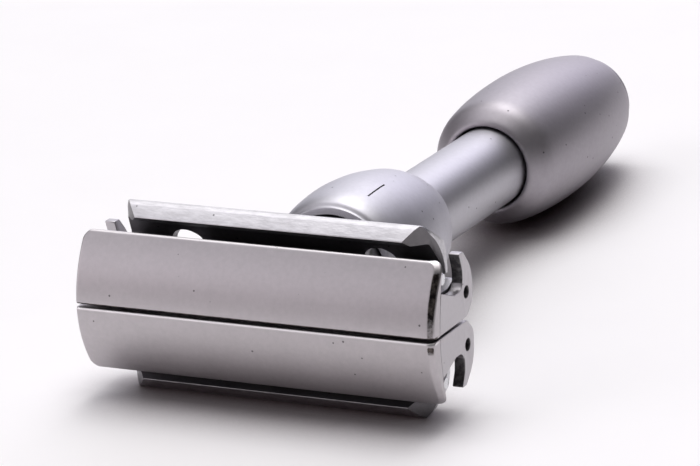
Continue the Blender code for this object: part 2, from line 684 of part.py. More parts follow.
def guard_plate():
    """The guard: trough section, rounded ends, sloping rim ends, arm slots and drain holes."""
    flat_span = RIDGE_HALF_SPAN + (RIM_HALF_SPAN - RIDGE_HALF_SPAN) * RIM_FLAT_SHARE
    flat_depth = RIDGE_DEPTH + (RIM_DEPTH - RIDGE_DEPTH) * RIM_FLAT_SHARE
    mouth = RIDGE_HALF_SPAN - RIDGE_WIDTH
    half = [(mouth, -RIDGE_DEPTH), (RIDGE_HALF_SPAN, -RIDGE_DEPTH), (flat_span, -flat_depth),
            (RIM_HALF_SPAN, -RIM_DEPTH), (RIM_HEEL_HALF_SPAN, -RIM_HEEL_DEPTH),
            (GUARD_BACK_HALF_SPAN, -GUARD_BACK)]
    outline = half + [(-u, v) for u, v in reversed(half)]
    overlong = GUARD_HALF_LENGTH + OVERRUN
    section = prism("guard_plate", [outline], -overlong, overlong, ALONG_BLADE)
    guard = add_piece("guard_plate", section)
    whole = (-GUARD_BACK - OVERRUN, -RIDGE_DEPTH + OVERRUN)
    combine(guard, prism("guard_outline", [guard_face()], *whole, ALONG_HANDLE), 'INTERSECT')
    above = -RIDGE_DEPTH + OVERRUN
    half = [(mouth, above, 0), (mouth, -RIDGE_DEPTH, 0),
            (TROUGH_WALL_HALF_SPAN, -TROUGH_WALL_FOOT, TROUGH_CORNER_RADIUS),
            (TROUGH_FLOOR_HALF_SPAN, -GUARD_FRONT_FLOOR, TROUGH_CORNER_RADIUS)]
    trough = rounded(half + [(-u, v, radius) for u, v, radius in reversed(half)])
    length = overlong + OVERRUN
    combine(guard, prism("guard_trough", [trough], -length, length, ALONG_BLADE), 'DIFFERENCE')
    for end in (-1, 1):
        slope = [(RIDGE_HALF_LENGTH, -RIDGE_DEPTH), (KNEE_HALF_LENGTH, -RIM_END_KNEE_DEPTH),
                 (GUARD_HALF_LENGTH, -GUARD_BACK), (GUARD_HALF_LENGTH, -GUARD_BACK - OVERRUN),
                 (overlong, -GUARD_BACK - OVERRUN), (overlong, above), (RIDGE_HALF_LENGTH, above)]
        slope = [(end * u, v) for u, v in slope]
        reach = RIM_HALF_SPAN + OVERRUN
        combine(guard, prism("rim_end", [slope], -reach, reach, ACROSS_BLADE), 'DIFFERENCE')
        slot = ARM_HALF_WIDTH + ARM_SLOT_CLEARANCE
        low, high = sorted((end * (ARM_INNER - ARM_SLOT_CLEARANCE), end * overlong))
        low, high = (low, -slot, -GUARD_BACK - OVERRUN), (high, slot, above)
        combine(guard, block("arm_slot", low, high), 'DIFFERENCE')
    through = (-GUARD_BACK - OVERRUN, -GUARD_FRONT_FLOOR + 2 * OVERRUN)
    holes = []
    for along in (-DRAIN_OFFSET, DRAIN_OFFSET):
        for across in (-DRAIN_HALF_SPACING, DRAIN_HALF_SPACING):
            holes.append(((along, across, through[0]), (along, across, through[1])))
    combine(guard, rods("drain_holes", DRAIN_RADIUS, holes), 'DIFFERENCE')
    bore = [((0, 0, through[0]), (0, 0, through[1]))]
    combine(guard, rods("guard_bore", GUARD_BORE_RADIUS, bore, TURN_STEPS), 'DIFFERENCE')
    shanks, heads = [], []
    head_back = GUARD_FRONT_FLOOR + SCREW_HEAD_THICKNESS + RUNNING_GAP
    for along in (-SCREW_OFFSET, SCREW_OFFSET):
        shanks.append(((along, 0, through[0]), (along, 0, through[1])))
        heads.append(((along, 0, -head_back), (along, 0, through[1])))
    combine(guard, rods("screw_holes", SCREW_SHANK_RADIUS + RUNNING_GAP, shanks), 'DIFFERENCE')
    combine(guard, rods("screw_seats", SCREW_HEAD_RADIUS + RUNNING_GAP, heads), 'DIFFERENCE')
    return guard


def guard_screw(name, along):
    """A flat-headed screw that holds the guard to its sleeve."""
    head_back = GUARD_FRONT_FLOOR + SCREW_HEAD_THICKNESS
    tip = SLEEVE_FRONT + SLEEVE_FLANGE_THICKNESS
    head = ((along, 0, -head_back), (along, 0, -GUARD_FRONT_FLOOR))
    shank = ((along, 0, -tip), (along, 0, -head_back + SCREW_HEAD_THICKNESS / 2))
    screw = add_piece(name, rods(name, SCREW_HEAD_RADIUS, [head]))
    combine(screw, rods("screw_shank", SCREW_SHANK_RADIUS, [shank]), 'UNION')
    return screw


def guard_sleeve():
    """The sliding sleeve: flange for the guard, stem, and a collar inside the dial."""
    bore = NECK_RADIUS + RUNNING_GAP
    flange_back = SLEEVE_FRONT + SLEEVE_FLANGE_THICKNESS
    profile = [(SLEEVE_FLANGE_RADIUS, SLEEVE_FRONT), (SLEEVE_FLANGE_RADIUS, flange_back),
               (SLEEVE_RADIUS, flange_back), (SLEEVE_RADIUS, SLEEVE_COLLAR_FRONT),
               (SLEEVE_COLLAR_RADIUS, SLEEVE_COLLAR_FRONT), (SLEEVE_COLLAR_RADIUS, SLEEVE_END),
               (SPRING_POCKET_RADIUS, SLEEVE_END), (SPRING_POCKET_RADIUS, SPRING_POCKET_FRONT),
               (bore, SPRING_POCKET_FRONT), (bore, SLEEVE_FRONT)]
    sleeve = turned("guard_sleeve", profile, True)
    holes = []
    for along in (-SCREW_OFFSET, SCREW_OFFSET):
        holes.append(((along, 0, -flange_back - OVERRUN), (along, 0, -SLEEVE_FRONT + OVERRUN)))
    combine(sleeve, rods("sleeve_holes", SCREW_SHANK_RADIUS + RUNNING_GAP, holes), 'DIFFERENCE')
    return sleeve


def guard_spring():
    """The coil that takes up the play between the guard and the dial."""
    start, end = SPRING_POCKET_FRONT + GUARD_TRAVEL + SEAT_GAP, FLANGE_FRONT - SEAT_GAP
    mesh = coil("guard_spring", SPRING_MEAN_RADIUS, SPRING_WIRE_RADIUS, start, end,
                SPRING_TURNS, SPRING_POINTS_PER_TURN)
    return add_piece("guard_spring", mesh)


def neck_tube():
    """The fixed tube from the tray's boss into the handle."""
    spigot = BOSS_BORE_RADIUS - RUNNING_GAP
    shoulder = BOSS_END + SEAT_GAP
    profile = [(spigot, NECK_SPIGOT_FRONT), (spigot, shoulder), (NECK_RADIUS, shoulder),
               (NECK_RADIUS, NECK_END), (NECK_BORE_RADIUS, NECK_END),
               (NECK_BORE_RADIUS, NECK_SPIGOT_FRONT)]
    neck = turned("neck_tube", profile, True)
    combine(neck, detent_pocket(), 'DIFFERENCE')
    return neck


def adjusting_dial():
    """The round dial: open towards the head, with a wall behind the handle's flange."""
    outer = smooth_profile(DIAL_OUTLINE_SHARES, DIAL_FRONT, DIAL_END, DIAL_MAX_RADIUS)
    groove_back = SNAP_RING_DEPTH + SNAP_RING_THICKNESS + RUNNING_GAP
    groove_radius = SNAP_RING_OUTER_RADIUS + RUNNING_GAP
    inner = [(DIAL_BORE_RADIUS, DIAL_END), (DIAL_BORE_RADIUS, DIAL_WALL_FRONT),
             (DIAL_CAVITY_RADIUS, DIAL_WALL_FRONT), (DIAL_CAVITY_RADIUS, groove_back),
             (groove_radius, groove_back), (groove_radius, SNAP_RING_DEPTH - RUNNING_GAP),
             (DIAL_CAVITY_RADIUS, SNAP_RING_DEPTH - RUNNING_GAP),
             (DIAL_CAVITY_RADIUS, DIAL_FRONT + DIAL_LIP_DEPTH)]
    dial = turned("adjusting_dial", outer + inner, True)
    low = -MARK_FRONT - MARK_LENGTH
    mark = block("dial_mark", (DIAL_MAX_RADIUS - MARK_CUT, -MARK_WIDTH / 2, low),
                 (DIAL_MAX_RADIUS + OVERRUN, MARK_WIDTH / 2, -MARK_FRONT))
    mark.transform(Matrix.Rotation(MARK_ANGLE, 4, 'Z'))
    combine(dial, mark, 'DIFFERENCE')
    dimples = []
    for index in range(DIMPLE_COUNT):
        angle = math.pi / 2 + math.tau * index / DIMPLE_COUNT
        out = Vector((math.cos(angle), math.sin(angle), 0))
        level = Vector((0, 0, -DETENT_DEPTH))
        dimples.append((level + out * (DIAL_CAVITY_RADIUS - OVERRUN),
                        level + out * (DIAL_CAVITY_RADIUS + DIMPLE_DEPTH)))
    combine(dial, rods("dial_dimples", DIMPLE_RADIUS, dimples, DIMPLE_SIDES), 'DIFFERENCE')
    return dial


def dial_snap_ring():
    """The split ring that keeps the dial on the handle's flange."""
    ring = split_ring("dial_snap_ring", SNAP_RING_INNER_RADIUS, SNAP_RING_OUTER_RADIUS,
                      SNAP_RING_OPENING, SNAP_RING_DEPTH, SNAP_RING_THICKNESS)
    return add_piece("dial_snap_ring", ring)


def detent_ball():
    """The ball that clicks into the dial's dimples."""
    work = bmesh.new()
    place = Matrix.Translation((0, DETENT_REACH - DETENT_BALL_RADIUS, -DETENT_DEPTH))
    bmesh.ops.create_uvsphere(work, u_segments=12, v_segments=8, radius=DETENT_BALL_RADIUS, matrix=place)
    mesh = bpy.data.meshes.new("detent_ball")
    work.to_mesh(mesh)
    work.free()
    return add_piece("detent_ball", mesh)


def detent_spring():
    """The small coil behind the detent ball."""
    start = DETENT_POCKET_FLOOR + SEAT_GAP
    end = DETENT_REACH - 2 * DETENT_BALL_RADIUS - SEAT_GAP
    mesh = coil("detent_spring", DETENT_COIL_RADIUS, DETENT_WIRE_RADIUS, start, end,
                DETENT_TURNS, SPRING_POINTS_PER_TURN)
    mesh.transform(Matrix.Translation((0, 0, -DETENT_DEPTH)) @ Matrix.Rotation(math.pi / 2, 4, 'X'))
    return add_piece("detent_spring", mesh)


def detent_pocket():
    """Cutter for the pocket that the detent ball and its coil sit in."""
    ends = ((0, DETENT_POCKET_FLOOR, -DETENT_DEPTH), (0, FLANGE_RADIUS + OVERRUN, -DETENT_DEPTH))
    return rods("detent_pocket", DETENT_POCKET_RADIUS, [ends])


def handle_tube():
    """The handle: flange inside the dial, plain grip, and the journal that the knob turns on."""
    neck_seat = NECK_RADIUS + RUNNING_GAP
    neck_stop = NECK_END + SEAT_GAP
    bush_seat = JOURNAL_END - BUSH_LENGTH - SEAT_GAP
    clip_front, clip_back = CLIP_DEPTH - RUNNING_GAP, CLIP_DEPTH + CLIP_THICKNESS + RUNNING_GAP
    ring_floor = FRICTION_RING_RADIUS - FRICTION_RING_WIRE - JOINT_LINE
    ring_front = FRICTION_RING_DEPTH - FRICTION_RING_WIRE - RUNNING_GAP
    ring_back = FRICTION_RING_DEPTH + FRICTION_RING_WIRE + RUNNING_GAP
    profile = [(FLANGE_RADIUS, FLANGE_FRONT), (FLANGE_RADIUS, FLANGE_BACK), (HANDLE_RADIUS, FLANGE_BACK),
               (HANDLE_RADIUS, HANDLE_SHOULDER - HANDLE_EDGE),
               (HANDLE_RADIUS - HANDLE_EDGE, HANDLE_SHOULDER), (JOURNAL_RADIUS, HANDLE_SHOULDER),
               (JOURNAL_RADIUS, ring_front), (ring_floor, ring_front), (ring_floor, ring_back),
               (JOURNAL_RADIUS, ring_back), (JOURNAL_RADIUS, clip_front), (CLIP_GROOVE_RADIUS, clip_front),
               (CLIP_GROOVE_RADIUS, clip_back), (JOURNAL_RADIUS, clip_back),
               (JOURNAL_RADIUS, JOURNAL_END), (BUSH_RADIUS + JOINT_LINE, JOURNAL_END),
               (BUSH_RADIUS + JOINT_LINE, bush_seat), (NECK_BORE_RADIUS, bush_seat),
               (NECK_BORE_RADIUS, neck_stop), (neck_seat, neck_stop), (neck_seat, FLANGE_FRONT)]
    handle = turned("handle_tube", profile, True)
    combine(handle, detent_pocket(), 'DIFFERENCE')
    return handle


def rod_guide_bush():
    """The bush that guides the drive rod at the journal's end."""
    profile = [(BUSH_RADIUS, JOURNAL_END - BUSH_LENGTH), (BUSH_RADIUS, JOURNAL_END),
               (BUSH_BORE_RADIUS, JOURNAL_END), (BUSH_BORE_RADIUS, JOURNAL_END - BUSH_LENGTH)]
    return turned("rod_guide_bush", profile, True, SMALL_TURN_STEPS)


def drive_rod():
    """The rod that lifts the centre bar when the knob is turned."""
    shoulder = BAR_BACK + SEAT_GAP + LOCK_NUT_THICKNESS + SEAT_GAP
    profile = [(0, STUD_TIP_DEPTH), (STUD_RADIUS, STUD_TIP_DEPTH), (STUD_RADIUS, shoulder),
               (DRIVE_ROD_RADIUS, shoulder), (DRIVE_ROD_RADIUS, DRIVE_ROD_END), (0, DRIVE_ROD_END)]
    return turned("drive_rod", profile, False, SMALL_TURN_STEPS)


def rod_lock_nut():
    """The hexagon nut that locks the drive rod's stud in the centre bar."""
    front = BAR_BACK + SEAT_GAP
    hexagon = circle((0, 0), LOCK_NUT_RADIUS, 6)
    bore = circle((0, 0), STUD_RADIUS + RUNNING_GAP)
    nut = prism("rod_lock_nut", [hexagon, bore], -front - LOCK_NUT_THICKNESS, -front, ALONG_HANDLE)
    return add_piece("rod_lock_nut", nut)


def twist_knob():
    """The barrel knob, bored for the handle, the journal, the clip and the drive nut."""
    outer = smooth_profile(KNOB_OUTLINE_SHARES, KNOB_FRONT, KNOB_END, KNOB_MAX_RADIUS)
    mouth = HANDLE_RADIUS + KNOB_MOUTH_GAP
    inner = [(NUT_ROOM_RADIUS, KNOB_END), (NUT_ROOM_RADIUS, NUT_ROOM_FRONT),
             (CLIP_ROOM_RADIUS, NUT_ROOM_FRONT), (CLIP_ROOM_RADIUS, KNOB_BEARING_END),
             (BEARING_RADIUS, KNOB_BEARING_END),
             (BEARING_RADIUS, KNOB_STEP), (mouth, KNOB_STEP), (mouth, KNOB_FRONT)]
    return turned("twist_knob", outer + inner, True)


def knob_thrust_washer():
    """The washer between the handle's shoulder and the knob's step."""
    front = HANDLE_SHOULDER + RUNNING_GAP
    outer, inner = HANDLE_RADIUS - HANDLE_EDGE, JOURNAL_RADIUS + RUNNING_GAP
    back = front + WASHER_THICKNESS
    profile = [(outer, front), (outer, back), (inner, back), (inner, front)]
    return turned("knob_thrust_washer", profile, True)


def knob_friction_ring():
    """The rubber ring in the journal's groove that keeps the knob where it is left."""
    centre = (FRICTION_RING_RADIUS, FRICTION_RING_DEPTH)
    return turned("knob_friction_ring", circle(centre, FRICTION_RING_WIRE, FRICTION_RING_SIDES), True)


def knob_retaining_clip():
    """The clip that keeps the knob on the journal."""
    clip = split_ring("knob_retaining_clip", CLIP_INNER_RADIUS, CLIP_OUTER_RADIUS, CLIP_OPENING,
                      CLIP_DEPTH, CLIP_THICKNESS)
    return add_piece("knob_retaining_clip", clip)


def drive_nut():
    """The nut in the knob that drives the rod's thread."""
    outer, inner = NUT_ROOM_RADIUS - RUNNING_GAP, DRIVE_ROD_RADIUS + RUNNING_GAP
    profile = [(outer, DRIVE_NUT_FRONT), (outer, DRIVE_NUT_END), (inner, DRIVE_NUT_END),
               (inner, DRIVE_NUT_FRONT)]
    return turned("drive_nut", profile, True)


def knob_end_cap():
    """The flat-ended cap that closes the knob and holds the drive nut in."""
    lip = KNOB_END + JOINT_LINE
    socket_floor = DRIVE_ROD_END + 2 * SEAT_GAP
    profile = [(0, socket_floor), (SPIGOT_BORE_RADIUS, socket_floor), (SPIGOT_BORE_RADIUS, SPIGOT_FRONT),
               (SPIGOT_RADIUS, SPIGOT_FRONT), (SPIGOT_RADIUS, lip), (END_CAP_RADIUS, lip),
               (END_CAP_RADIUS - END_CAP_EDGE / 4, END_CAP_END - END_CAP_EDGE / 2),
               (END_CAP_RADIUS - END_CAP_EDGE, END_CAP_END), (0, END_CAP_END)]
    return turned("knob_end_cap", profile, False)


def rest_tilt():
    """Angle by which the handle falls away from the head when rim and knob both touch the table."""
    knob = smooth_profile(KNOB_OUTLINE_SHARES, KNOB_FRONT, KNOB_END, KNOB_MAX_RADIUS)
    return math.atan(min((RIM_HALF_SPAN - radius) / (depth - RIM_DEPTH) for radius, depth in knob))


def lay_down(empty):
    """Lay the razor on the table with the middle of its footprint at the origin."""
    tilt = rest_tilt()
    lift = RIM_HALF_SPAN * math.cos(tilt) + RIM_DEPTH * math.sin(tilt)
    flat_radius = END_CAP_RADIUS - END_CAP_EDGE
    reach = END_CAP_END * math.cos(tilt) + flat_radius * math.sin(tilt)
    empty.rotation_euler = (math.pi / 2 - tilt, 0, 0)
    empty.location = (0, -reach / 2, lift)


def new_empty(name, parent, location):
    """An empty that carries the pieces of one body."""
    empty = bpy.data.objects.new(name, None)
    empty.empty_display_size = DOOR_HALF_WIDTH
    RAZOR.objects.link(empty)
    empty.parent = parent
    empty.location = location
    return empty


def assemble(carrier, pieces, material):
    """Hang pieces on an empty, keep them where they are modelled and give them a finish."""
    for piece in pieces:
        piece.parent = carrier
        if carrier.parent is not None:
            piece.location = -carrier.location
        piece.data.materials.append(material)
        if piece.name not in TURNED_IN_PLACE:
            shade(piece)


clear_scene()
RAZOR = new_collection("adjustable_safety_razor")
CUTTERS = new_collection("cutters")
TURNED_IN_PLACE = ("guard_sleeve", "neck_tube", "adjusting_dial", "handle_tube", "rod_guide_bush",
                   "drive_rod", "twist_knob", "knob_thrust_washer", "knob_friction_ring", "drive_nut",
                   "knob_end_cap")

satin = finish("satin_chrome", SATIN_CHROME, 0.35, 1.0)
dark = finish("dark_chrome", DARK_CHROME, 0.40, 1.0)
steel = finish("steel", STEEL, 0.30, 1.0)
brass = finish("brass", BRASS, 0.35, 1.0)
rubber = finish("rubber", RUBBER, 0.70, 0.0)
nylon = finish("nylon", NYLON, 0.50, 0.0)

rest_frame = new_empty("rest_frame", None, (0, 0, 0))
lay_down(rest_frame)
assemble(rest_frame, [handle_tube()], satin)
assemble(rest_frame, [blade_tray(), neck_tube()], dark)
assemble(rest_frame, door_cam_pins() + [guard_spring(), detent_ball(), detent_spring()], steel)
assemble(rest_frame, [knob_retaining_clip()], steel)
assemble(rest_frame, [rod_guide_bush()], brass)
assemble(rest_frame, [knob_friction_ring()], rubber)
assemble(rest_frame, [knob_thrust_washer()], nylon)

guard_body = new_empty("guard_body", rest_frame, (0, 0, -GUARD_BACK))
assemble(guard_body, [guard_plate(), guard_sleeve()], satin)
assemble(guard_body, [guard_screw("guard_screw_right", SCREW_OFFSET)], steel)
assemble(guard_body, [guard_screw("guard_screw_left", -SCREW_OFFSET)], steel)

dial_body = new_empty("dial_body", rest_frame, (0, 0, -DIAL_FRONT))
assemble(dial_body, [adjusting_dial()], satin)
assemble(dial_body, [dial_snap_ring()], steel)

knob_body = new_empty("knob_body", rest_frame, (0, 0, -KNOB_FRONT))
assemble(knob_body, [twist_knob(), knob_end_cap()], satin)
assemble(knob_body, [drive_nut()], brass)

carriage_body = new_empty("carriage_body", rest_frame, (0, 0, -BAR_BACK))
assemble(carriage_body, [centre_bar()], dark)
assemble(carriage_body, door_hinge_pins() + [drive_rod(), rod_lock_nut()], steel)

for door, half in (("upper", 1), ("lower", -1)):
    hinge = new_empty(door + "_door_hinge", rest_frame, (0, half * PIVOT_HALF_SPACING, -PIVOT_DEPTH))
    plates = [door_end(door + "_door_end_right", half, 1), door_end(door + "_door_end_left", half, -1)]
    assemble(hinge, [door_cap(door + "_door_cap", half)] + plates, satin)
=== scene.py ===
"""Studio scene of the adjustable safety razor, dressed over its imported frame.

Finer meshes are made in the razor's own frame, where Z runs along the handle towards the
head, X along the blade and Y across it, and a depth is measured back from the doors'
crown. resting_place lays them down as the frame lies. Sizes are in millimetres, and an
outline's corners are (place, place, corner radius).
"""

import math

import bmesh
import bpy
from mathutils import Matrix, Vector
from mathutils.geometry import tessellate_polygon


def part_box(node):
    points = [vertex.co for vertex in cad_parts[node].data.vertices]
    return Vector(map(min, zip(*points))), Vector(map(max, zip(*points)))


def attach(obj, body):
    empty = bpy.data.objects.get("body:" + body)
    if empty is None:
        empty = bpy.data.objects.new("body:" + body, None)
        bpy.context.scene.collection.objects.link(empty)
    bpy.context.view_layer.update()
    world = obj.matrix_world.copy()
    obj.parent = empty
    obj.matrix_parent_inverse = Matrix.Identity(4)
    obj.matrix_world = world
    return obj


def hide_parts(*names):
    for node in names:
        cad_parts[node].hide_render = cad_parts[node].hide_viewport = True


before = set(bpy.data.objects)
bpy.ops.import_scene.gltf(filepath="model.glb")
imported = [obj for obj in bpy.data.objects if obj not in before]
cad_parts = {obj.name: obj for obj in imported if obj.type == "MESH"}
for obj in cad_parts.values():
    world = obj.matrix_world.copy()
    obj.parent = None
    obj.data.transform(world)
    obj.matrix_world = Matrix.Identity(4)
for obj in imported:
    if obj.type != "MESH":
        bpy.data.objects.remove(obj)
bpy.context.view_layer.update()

MM = 0.001
TURN_STEPS = 144
SPLINE_STEPS = 4
ARC_STEP = math.radians(7)
MERGE_DISTANCE = 0.0005
SHARP_BEVEL = 0.00005
LEAST_CORNER_COSINE = 0.35
SHARP_EDGE_ANGLE = math.radians(30)
FLAT_FACE_WEIGHT = 60
CUT_OVERRUN = 1.0
PIN_SIDES = 40
DRAIN_SIDES = 64
STEM_HOLE_SIDES = 96
SCREW_SIDES = 32
EDGE_NAME = "edge"
RIGHT, LEFT = 1, -1

# Doors
DOOR_HALF_LENGTH = 24.0
DOOR_HALF_WIDTH = 8.96
DOOR_EDGE_DEPTH = 3.37
DOOR_EDGE_THICKNESS = 0.25
DOOR_LEAST_THICKNESS = 0.02
DOOR_CORNER_RADIUS = 1.25
DOOR_ROLL = 0.15
DOOR_LEFT_ROLL = 0.22
DOOR_LEFT_EXTRA = 0.18
SEAM_HALF_GAP = 0.18
SEAM_THICKNESS = 1.95
SEAM_EDGE_RADIUS = 0.40
CHAMFER_LENGTH = 0.75
CHAMFER_DEPTH = 0.45
CHAMFER_SOFTNESS = 0.06
SEAM_ROWS = 6
FLAT_ROWS = 22
CORNER_ROWS = 16
END_STEPS = (0.0, 0.01, 0.03, 0.06, 0.09, 0.13, 0.18, 0.30, 0.45, 0.58, 0.64, 0.68, 0.72, 0.76,
             0.80, 0.86, 0.94, 1.02, 1.3, 1.8, 2.6, 3.6, 5.0, 7.0, 9.5, 12.5, 16.0, 20.0)

# Where a door's abraded band, its painted seam shade and its painted highlights come and go: from its end,
# from the seam plane, or from the seam's edge
BAND_START = (0.02, 0.24)
BAND_STOP = (0.70, 1.06)
UPPER_BAND_STOP = (7.5, 8.1)
UPPER_BAND_RISE = (1.2, 4.6)
UPPER_BAND_LEAST = 0.60
LOWER_BAND_START = (0.50, 0.75)
LOWER_BAND_STOP = (0.7, 2.7)
SEAM_SHADE_STOP = (0.20, 0.30)
SEAM_HIGHLIGHT_START = (0.06, 0.16)
SEAM_HIGHLIGHT_STOP = (0.20, 0.36)
RIM_HIGHLIGHT_START = (DOOR_HALF_WIDTH - 0.30, DOOR_HALF_WIDTH - 0.05)
RIM_HIGHLIGHT_STRENGTH = 0.3

# Hooked end plates of the doors
PLATE_INNER = 22.6
PLATE_BEVEL = 0.10
PLATE_FRONT_WIDTH = 5.3
PLATE_FRONT_STEPS = 10
PLATE_HEEL_DEPTH = 10.2
PLATE_BACK_DEPTH = 12.1
PLATE_BACK_SPAN = (1.9, 5.8)
HOOK_TIP = 8.45
HOOK_TIP_SKEW = 0.15
HOOK_TIP_DEPTHS = (9.5, 8.2)
NOTCH_MOUTH = 6.3
NOTCH_SIDE = 3.9
NOTCH_DEPTHS = (9.1, 6.6)
# Where painted shade darkens the notch of the right end plate
DARK_NOTCH_START = 4.7
DARK_NOTCH_MARGIN = 0.1
DARK_NOTCH_DEPTHS = (8.0, 9.25)
JOINT_LINE = 0.2

# Pins
HINGE_DEPTH = 10.16
HINGE_HALF_SPACING = 3.33
HINGE_HOLE_RADIUS = 0.75
HINGE_PIN_RADIUS = 0.55
HINGE_PIN_SPAN = (21.0, 23.3)
HINGE_PIN_BEVEL = 0.08
CAM_PIN_ACROSS = 6.5
CAM_PIN_DEPTH = 4.5
CAM_PIN_RADIUS = 0.75
CAM_PIN_SPAN = (17.9, 23.5)
CAM_PIN_BEVEL = 0.10

# Guard
RIDGE_DEPTH = 5.05
RIDGE_HALF_SPAN = 10.53
RIDGE_WIDTH = 0.1
RIDGE_HALF_LENGTH = 18.04
RIM_DEPTH = 6.67
RIM_HALF_SPAN = 12.16
RIM_HALF_LENGTH = 19.4
RIM_FLAT_SHARE = 0.75
RIM_CORNERS = ((12.03, -6.72, 0.2), (RIM_HALF_SPAN, -7.0, 0.25), (11.72, -7.8, 0.5))
GUARD_HEEL_HALF_SPAN = 9.2
GUARD_BACK = 11.1
GUARD_HALF_LENGTH = 21.4
GUARD_END = 21.2
GUARD_CORNER_STEPS = 24
GUARD_SOFTNESS = 0.18
GUARD_SLOPE = ((19.25, -6.35), (20.45, -7.9))
TROUGH_FLOOR = 9.4
TROUGH_CORNERS = ((9.8, -5.8, 0.3), (9.72, -7.7, 0.4), (7.2, -TROUGH_FLOOR, 0.8))
ARM_SLOT_HALF_WIDTH = 5.3
ARM_SLOT_START = 20.5
DRAIN_ALONG = 13.1
DRAIN_ACROSS = 5.9
DRAIN_RADIUS = 2.4
STEM_HOLE_RADIUS = 4.3
SCREW_ALONG = 6.6
SCREW_HOLE_RADIUS = 0.8
SCREW_HEAD_RADIUS = 1.4
SCREW_HEAD_DEPTH = 10.3

# Guard sleeve
SLEEVE_FRONT = 11.4
SLEEVE_END = 34.1
SLEEVE_BORE = 4.2
SLEEVE_RADIUS = 5.5
SLEEVE_FLANGE_RADIUS = 8.4
SLEEVE_FLANGE_BACK = 12.8
COLLAR_FRONT = 21.5
COLLAR_RADIUS = 7.0
SPRING_POCKET_FRONT = 24.5
SPRING_POCKET_RADIUS = 6.1

# Handle
HANDLE_RADIUS = 5.54
FLANGE_RADIUS = 7.05
FLANGE_FRONT = 36.7
FLANGE_BACK = 39.1
HANDLE_SHOULDER = 78.8
JOURNAL_RADIUS = 4.2
JOURNAL_END = 95.5
RING_GROOVE_RADIUS = 3.28
RING_GROOVE_SPAN = (84.88, 86.12)
CLIP_GROOVE_RADIUS = 3.4
CLIP_GROOVE_SPAN = (91.0, 92.3)
NECK_ROOM_RADIUS = 4.2
NECK_ROOM_END = 50.3
ROD_ROOM_RADIUS = 2.1
BUSH_ROOM_RADIUS = 3.0
BUSH_ROOM_FRONT = 88.2
SEAT_GAP = 0.3
BORE_ROUND_HANDLE = HANDLE_RADIUS + SEAT_GAP

# Dial
DIAL_FRONT = 23.2
DIAL_END = 46.8
DIAL_RADIUS = 9.73
DIAL_SHARES = ((0.0, 0.800), (0.003, 0.838), (0.013, 0.853), (0.032, 0.900), (0.070, 0.940),
               (0.125, 0.967), (0.200, 0.985), (0.300, 0.999), (0.360, 1.000), (0.450, 0.989),
               (0.560, 0.964), (0.660, 0.922), (0.760, 0.872), (0.850, 0.795), (0.930, 0.705),
               (0.980, 0.645), (1.0, 0.620))
DIAL_LIP = 7.28
DIAL_LIP_END = 24.2
DIAL_CAVITY = 7.4
DIAL_WALL = 39.4
DIAL_GROOVE = 8.0
DIAL_GROOVE_SPAN = (35.5, 36.6)
MARK_LOW = (9.53, -0.11, -32.2)
MARK_HIGH = (10.73, 0.11, -26.4)
MARK_TURN = math.radians(69)

# Knob
KNOB_FRONT = 73.1
KNOB_END = 109.2
KNOB_RADIUS = 9.62
KNOB_SHARES = ((0.0, 0.650), (0.004, 0.680), (0.030, 0.780), (0.050, 0.843), (0.070, 0.884),
               (0.094, 0.910), (0.130, 0.931), (0.220, 0.968), (0.330, 0.992), (0.430, 1.000),
               (0.530, 0.995), (0.640, 0.972), (0.740, 0.935), (0.830, 0.887), (0.910, 0.832),
               (0.970, 0.778), (0.995, 0.735), (1.0, 0.722))
KNOB_STEP = 80.0
BEARING_RADIUS = 4.4
CLIP_ROOM_FRONT = 90.8
CLIP_ROOM_RADIUS = 5.7
NUT_ROOM_FRONT = 95.7
NUT_ROOM_RADIUS = 6.1

# End cap
END_CAP_RADIUS = 6.7
END_CAP_FRONT = 109.3
END_CAP_END = 111.2
END_CAP_EDGE = ((6.525, 110.85, 0.5), (6.0, END_CAP_END, 0.6))
SPIGOT_RADIUS = 5.9
SPIGOT_FRONT = 100.8
SPIGOT_BORE = 2.6
SPIGOT_BORE_END = 107.1

# Pieces that stay the frame's own
FRAME_NODE_BEVEL = 0.08

# Finishes; scales are per metre, the dust's radius is in cells and the bump's height in metres
FINE_GRAIN_SCALE = 5200
COARSE_GRAIN_SCALE = 1500
CLOUD_SCALE = 140
WEAR_PATCH_SCALE = 2100
STAIN_SCALE = 1300
DUST_SCALE = 420
DUST_RADIUS = 0.045
DUST_TONE = 0.3
# Dark tones of the doors' abraded band and of the painted shade along the upper door's seam
DOOR_SCUFF_AND_SEAM_SHADE = ((0.018, 0.014, 0.015, 1), (0.13, 0.112, 0.104, 1))
# Dark tones of the painted shade in the end plates' pin holes and the right end's notch
PLATE_PAINTED_SHADE = ((0.10, 0.096, 0.10, 1), (0.20, 0.192, 0.196, 1))
# Colour of the doors' painted highlights
PAINTED_HIGHLIGHT_COLOUR = (0.98, 0.96, 0.96, 1)
BUMP_HEIGHT = 0.00002

# Studio, in metres and degrees, where front is -Y and left is -X.
# A glow is its name, azimuth, elevation, tightness and colour.
FLOOR_HALF_SIZE = 3
FLOOR_FIBRE_SCALE = 60
FLOOR_TONES = ((0.93, 0.912, 0.918, 1), (0.955, 0.94, 0.945, 1))
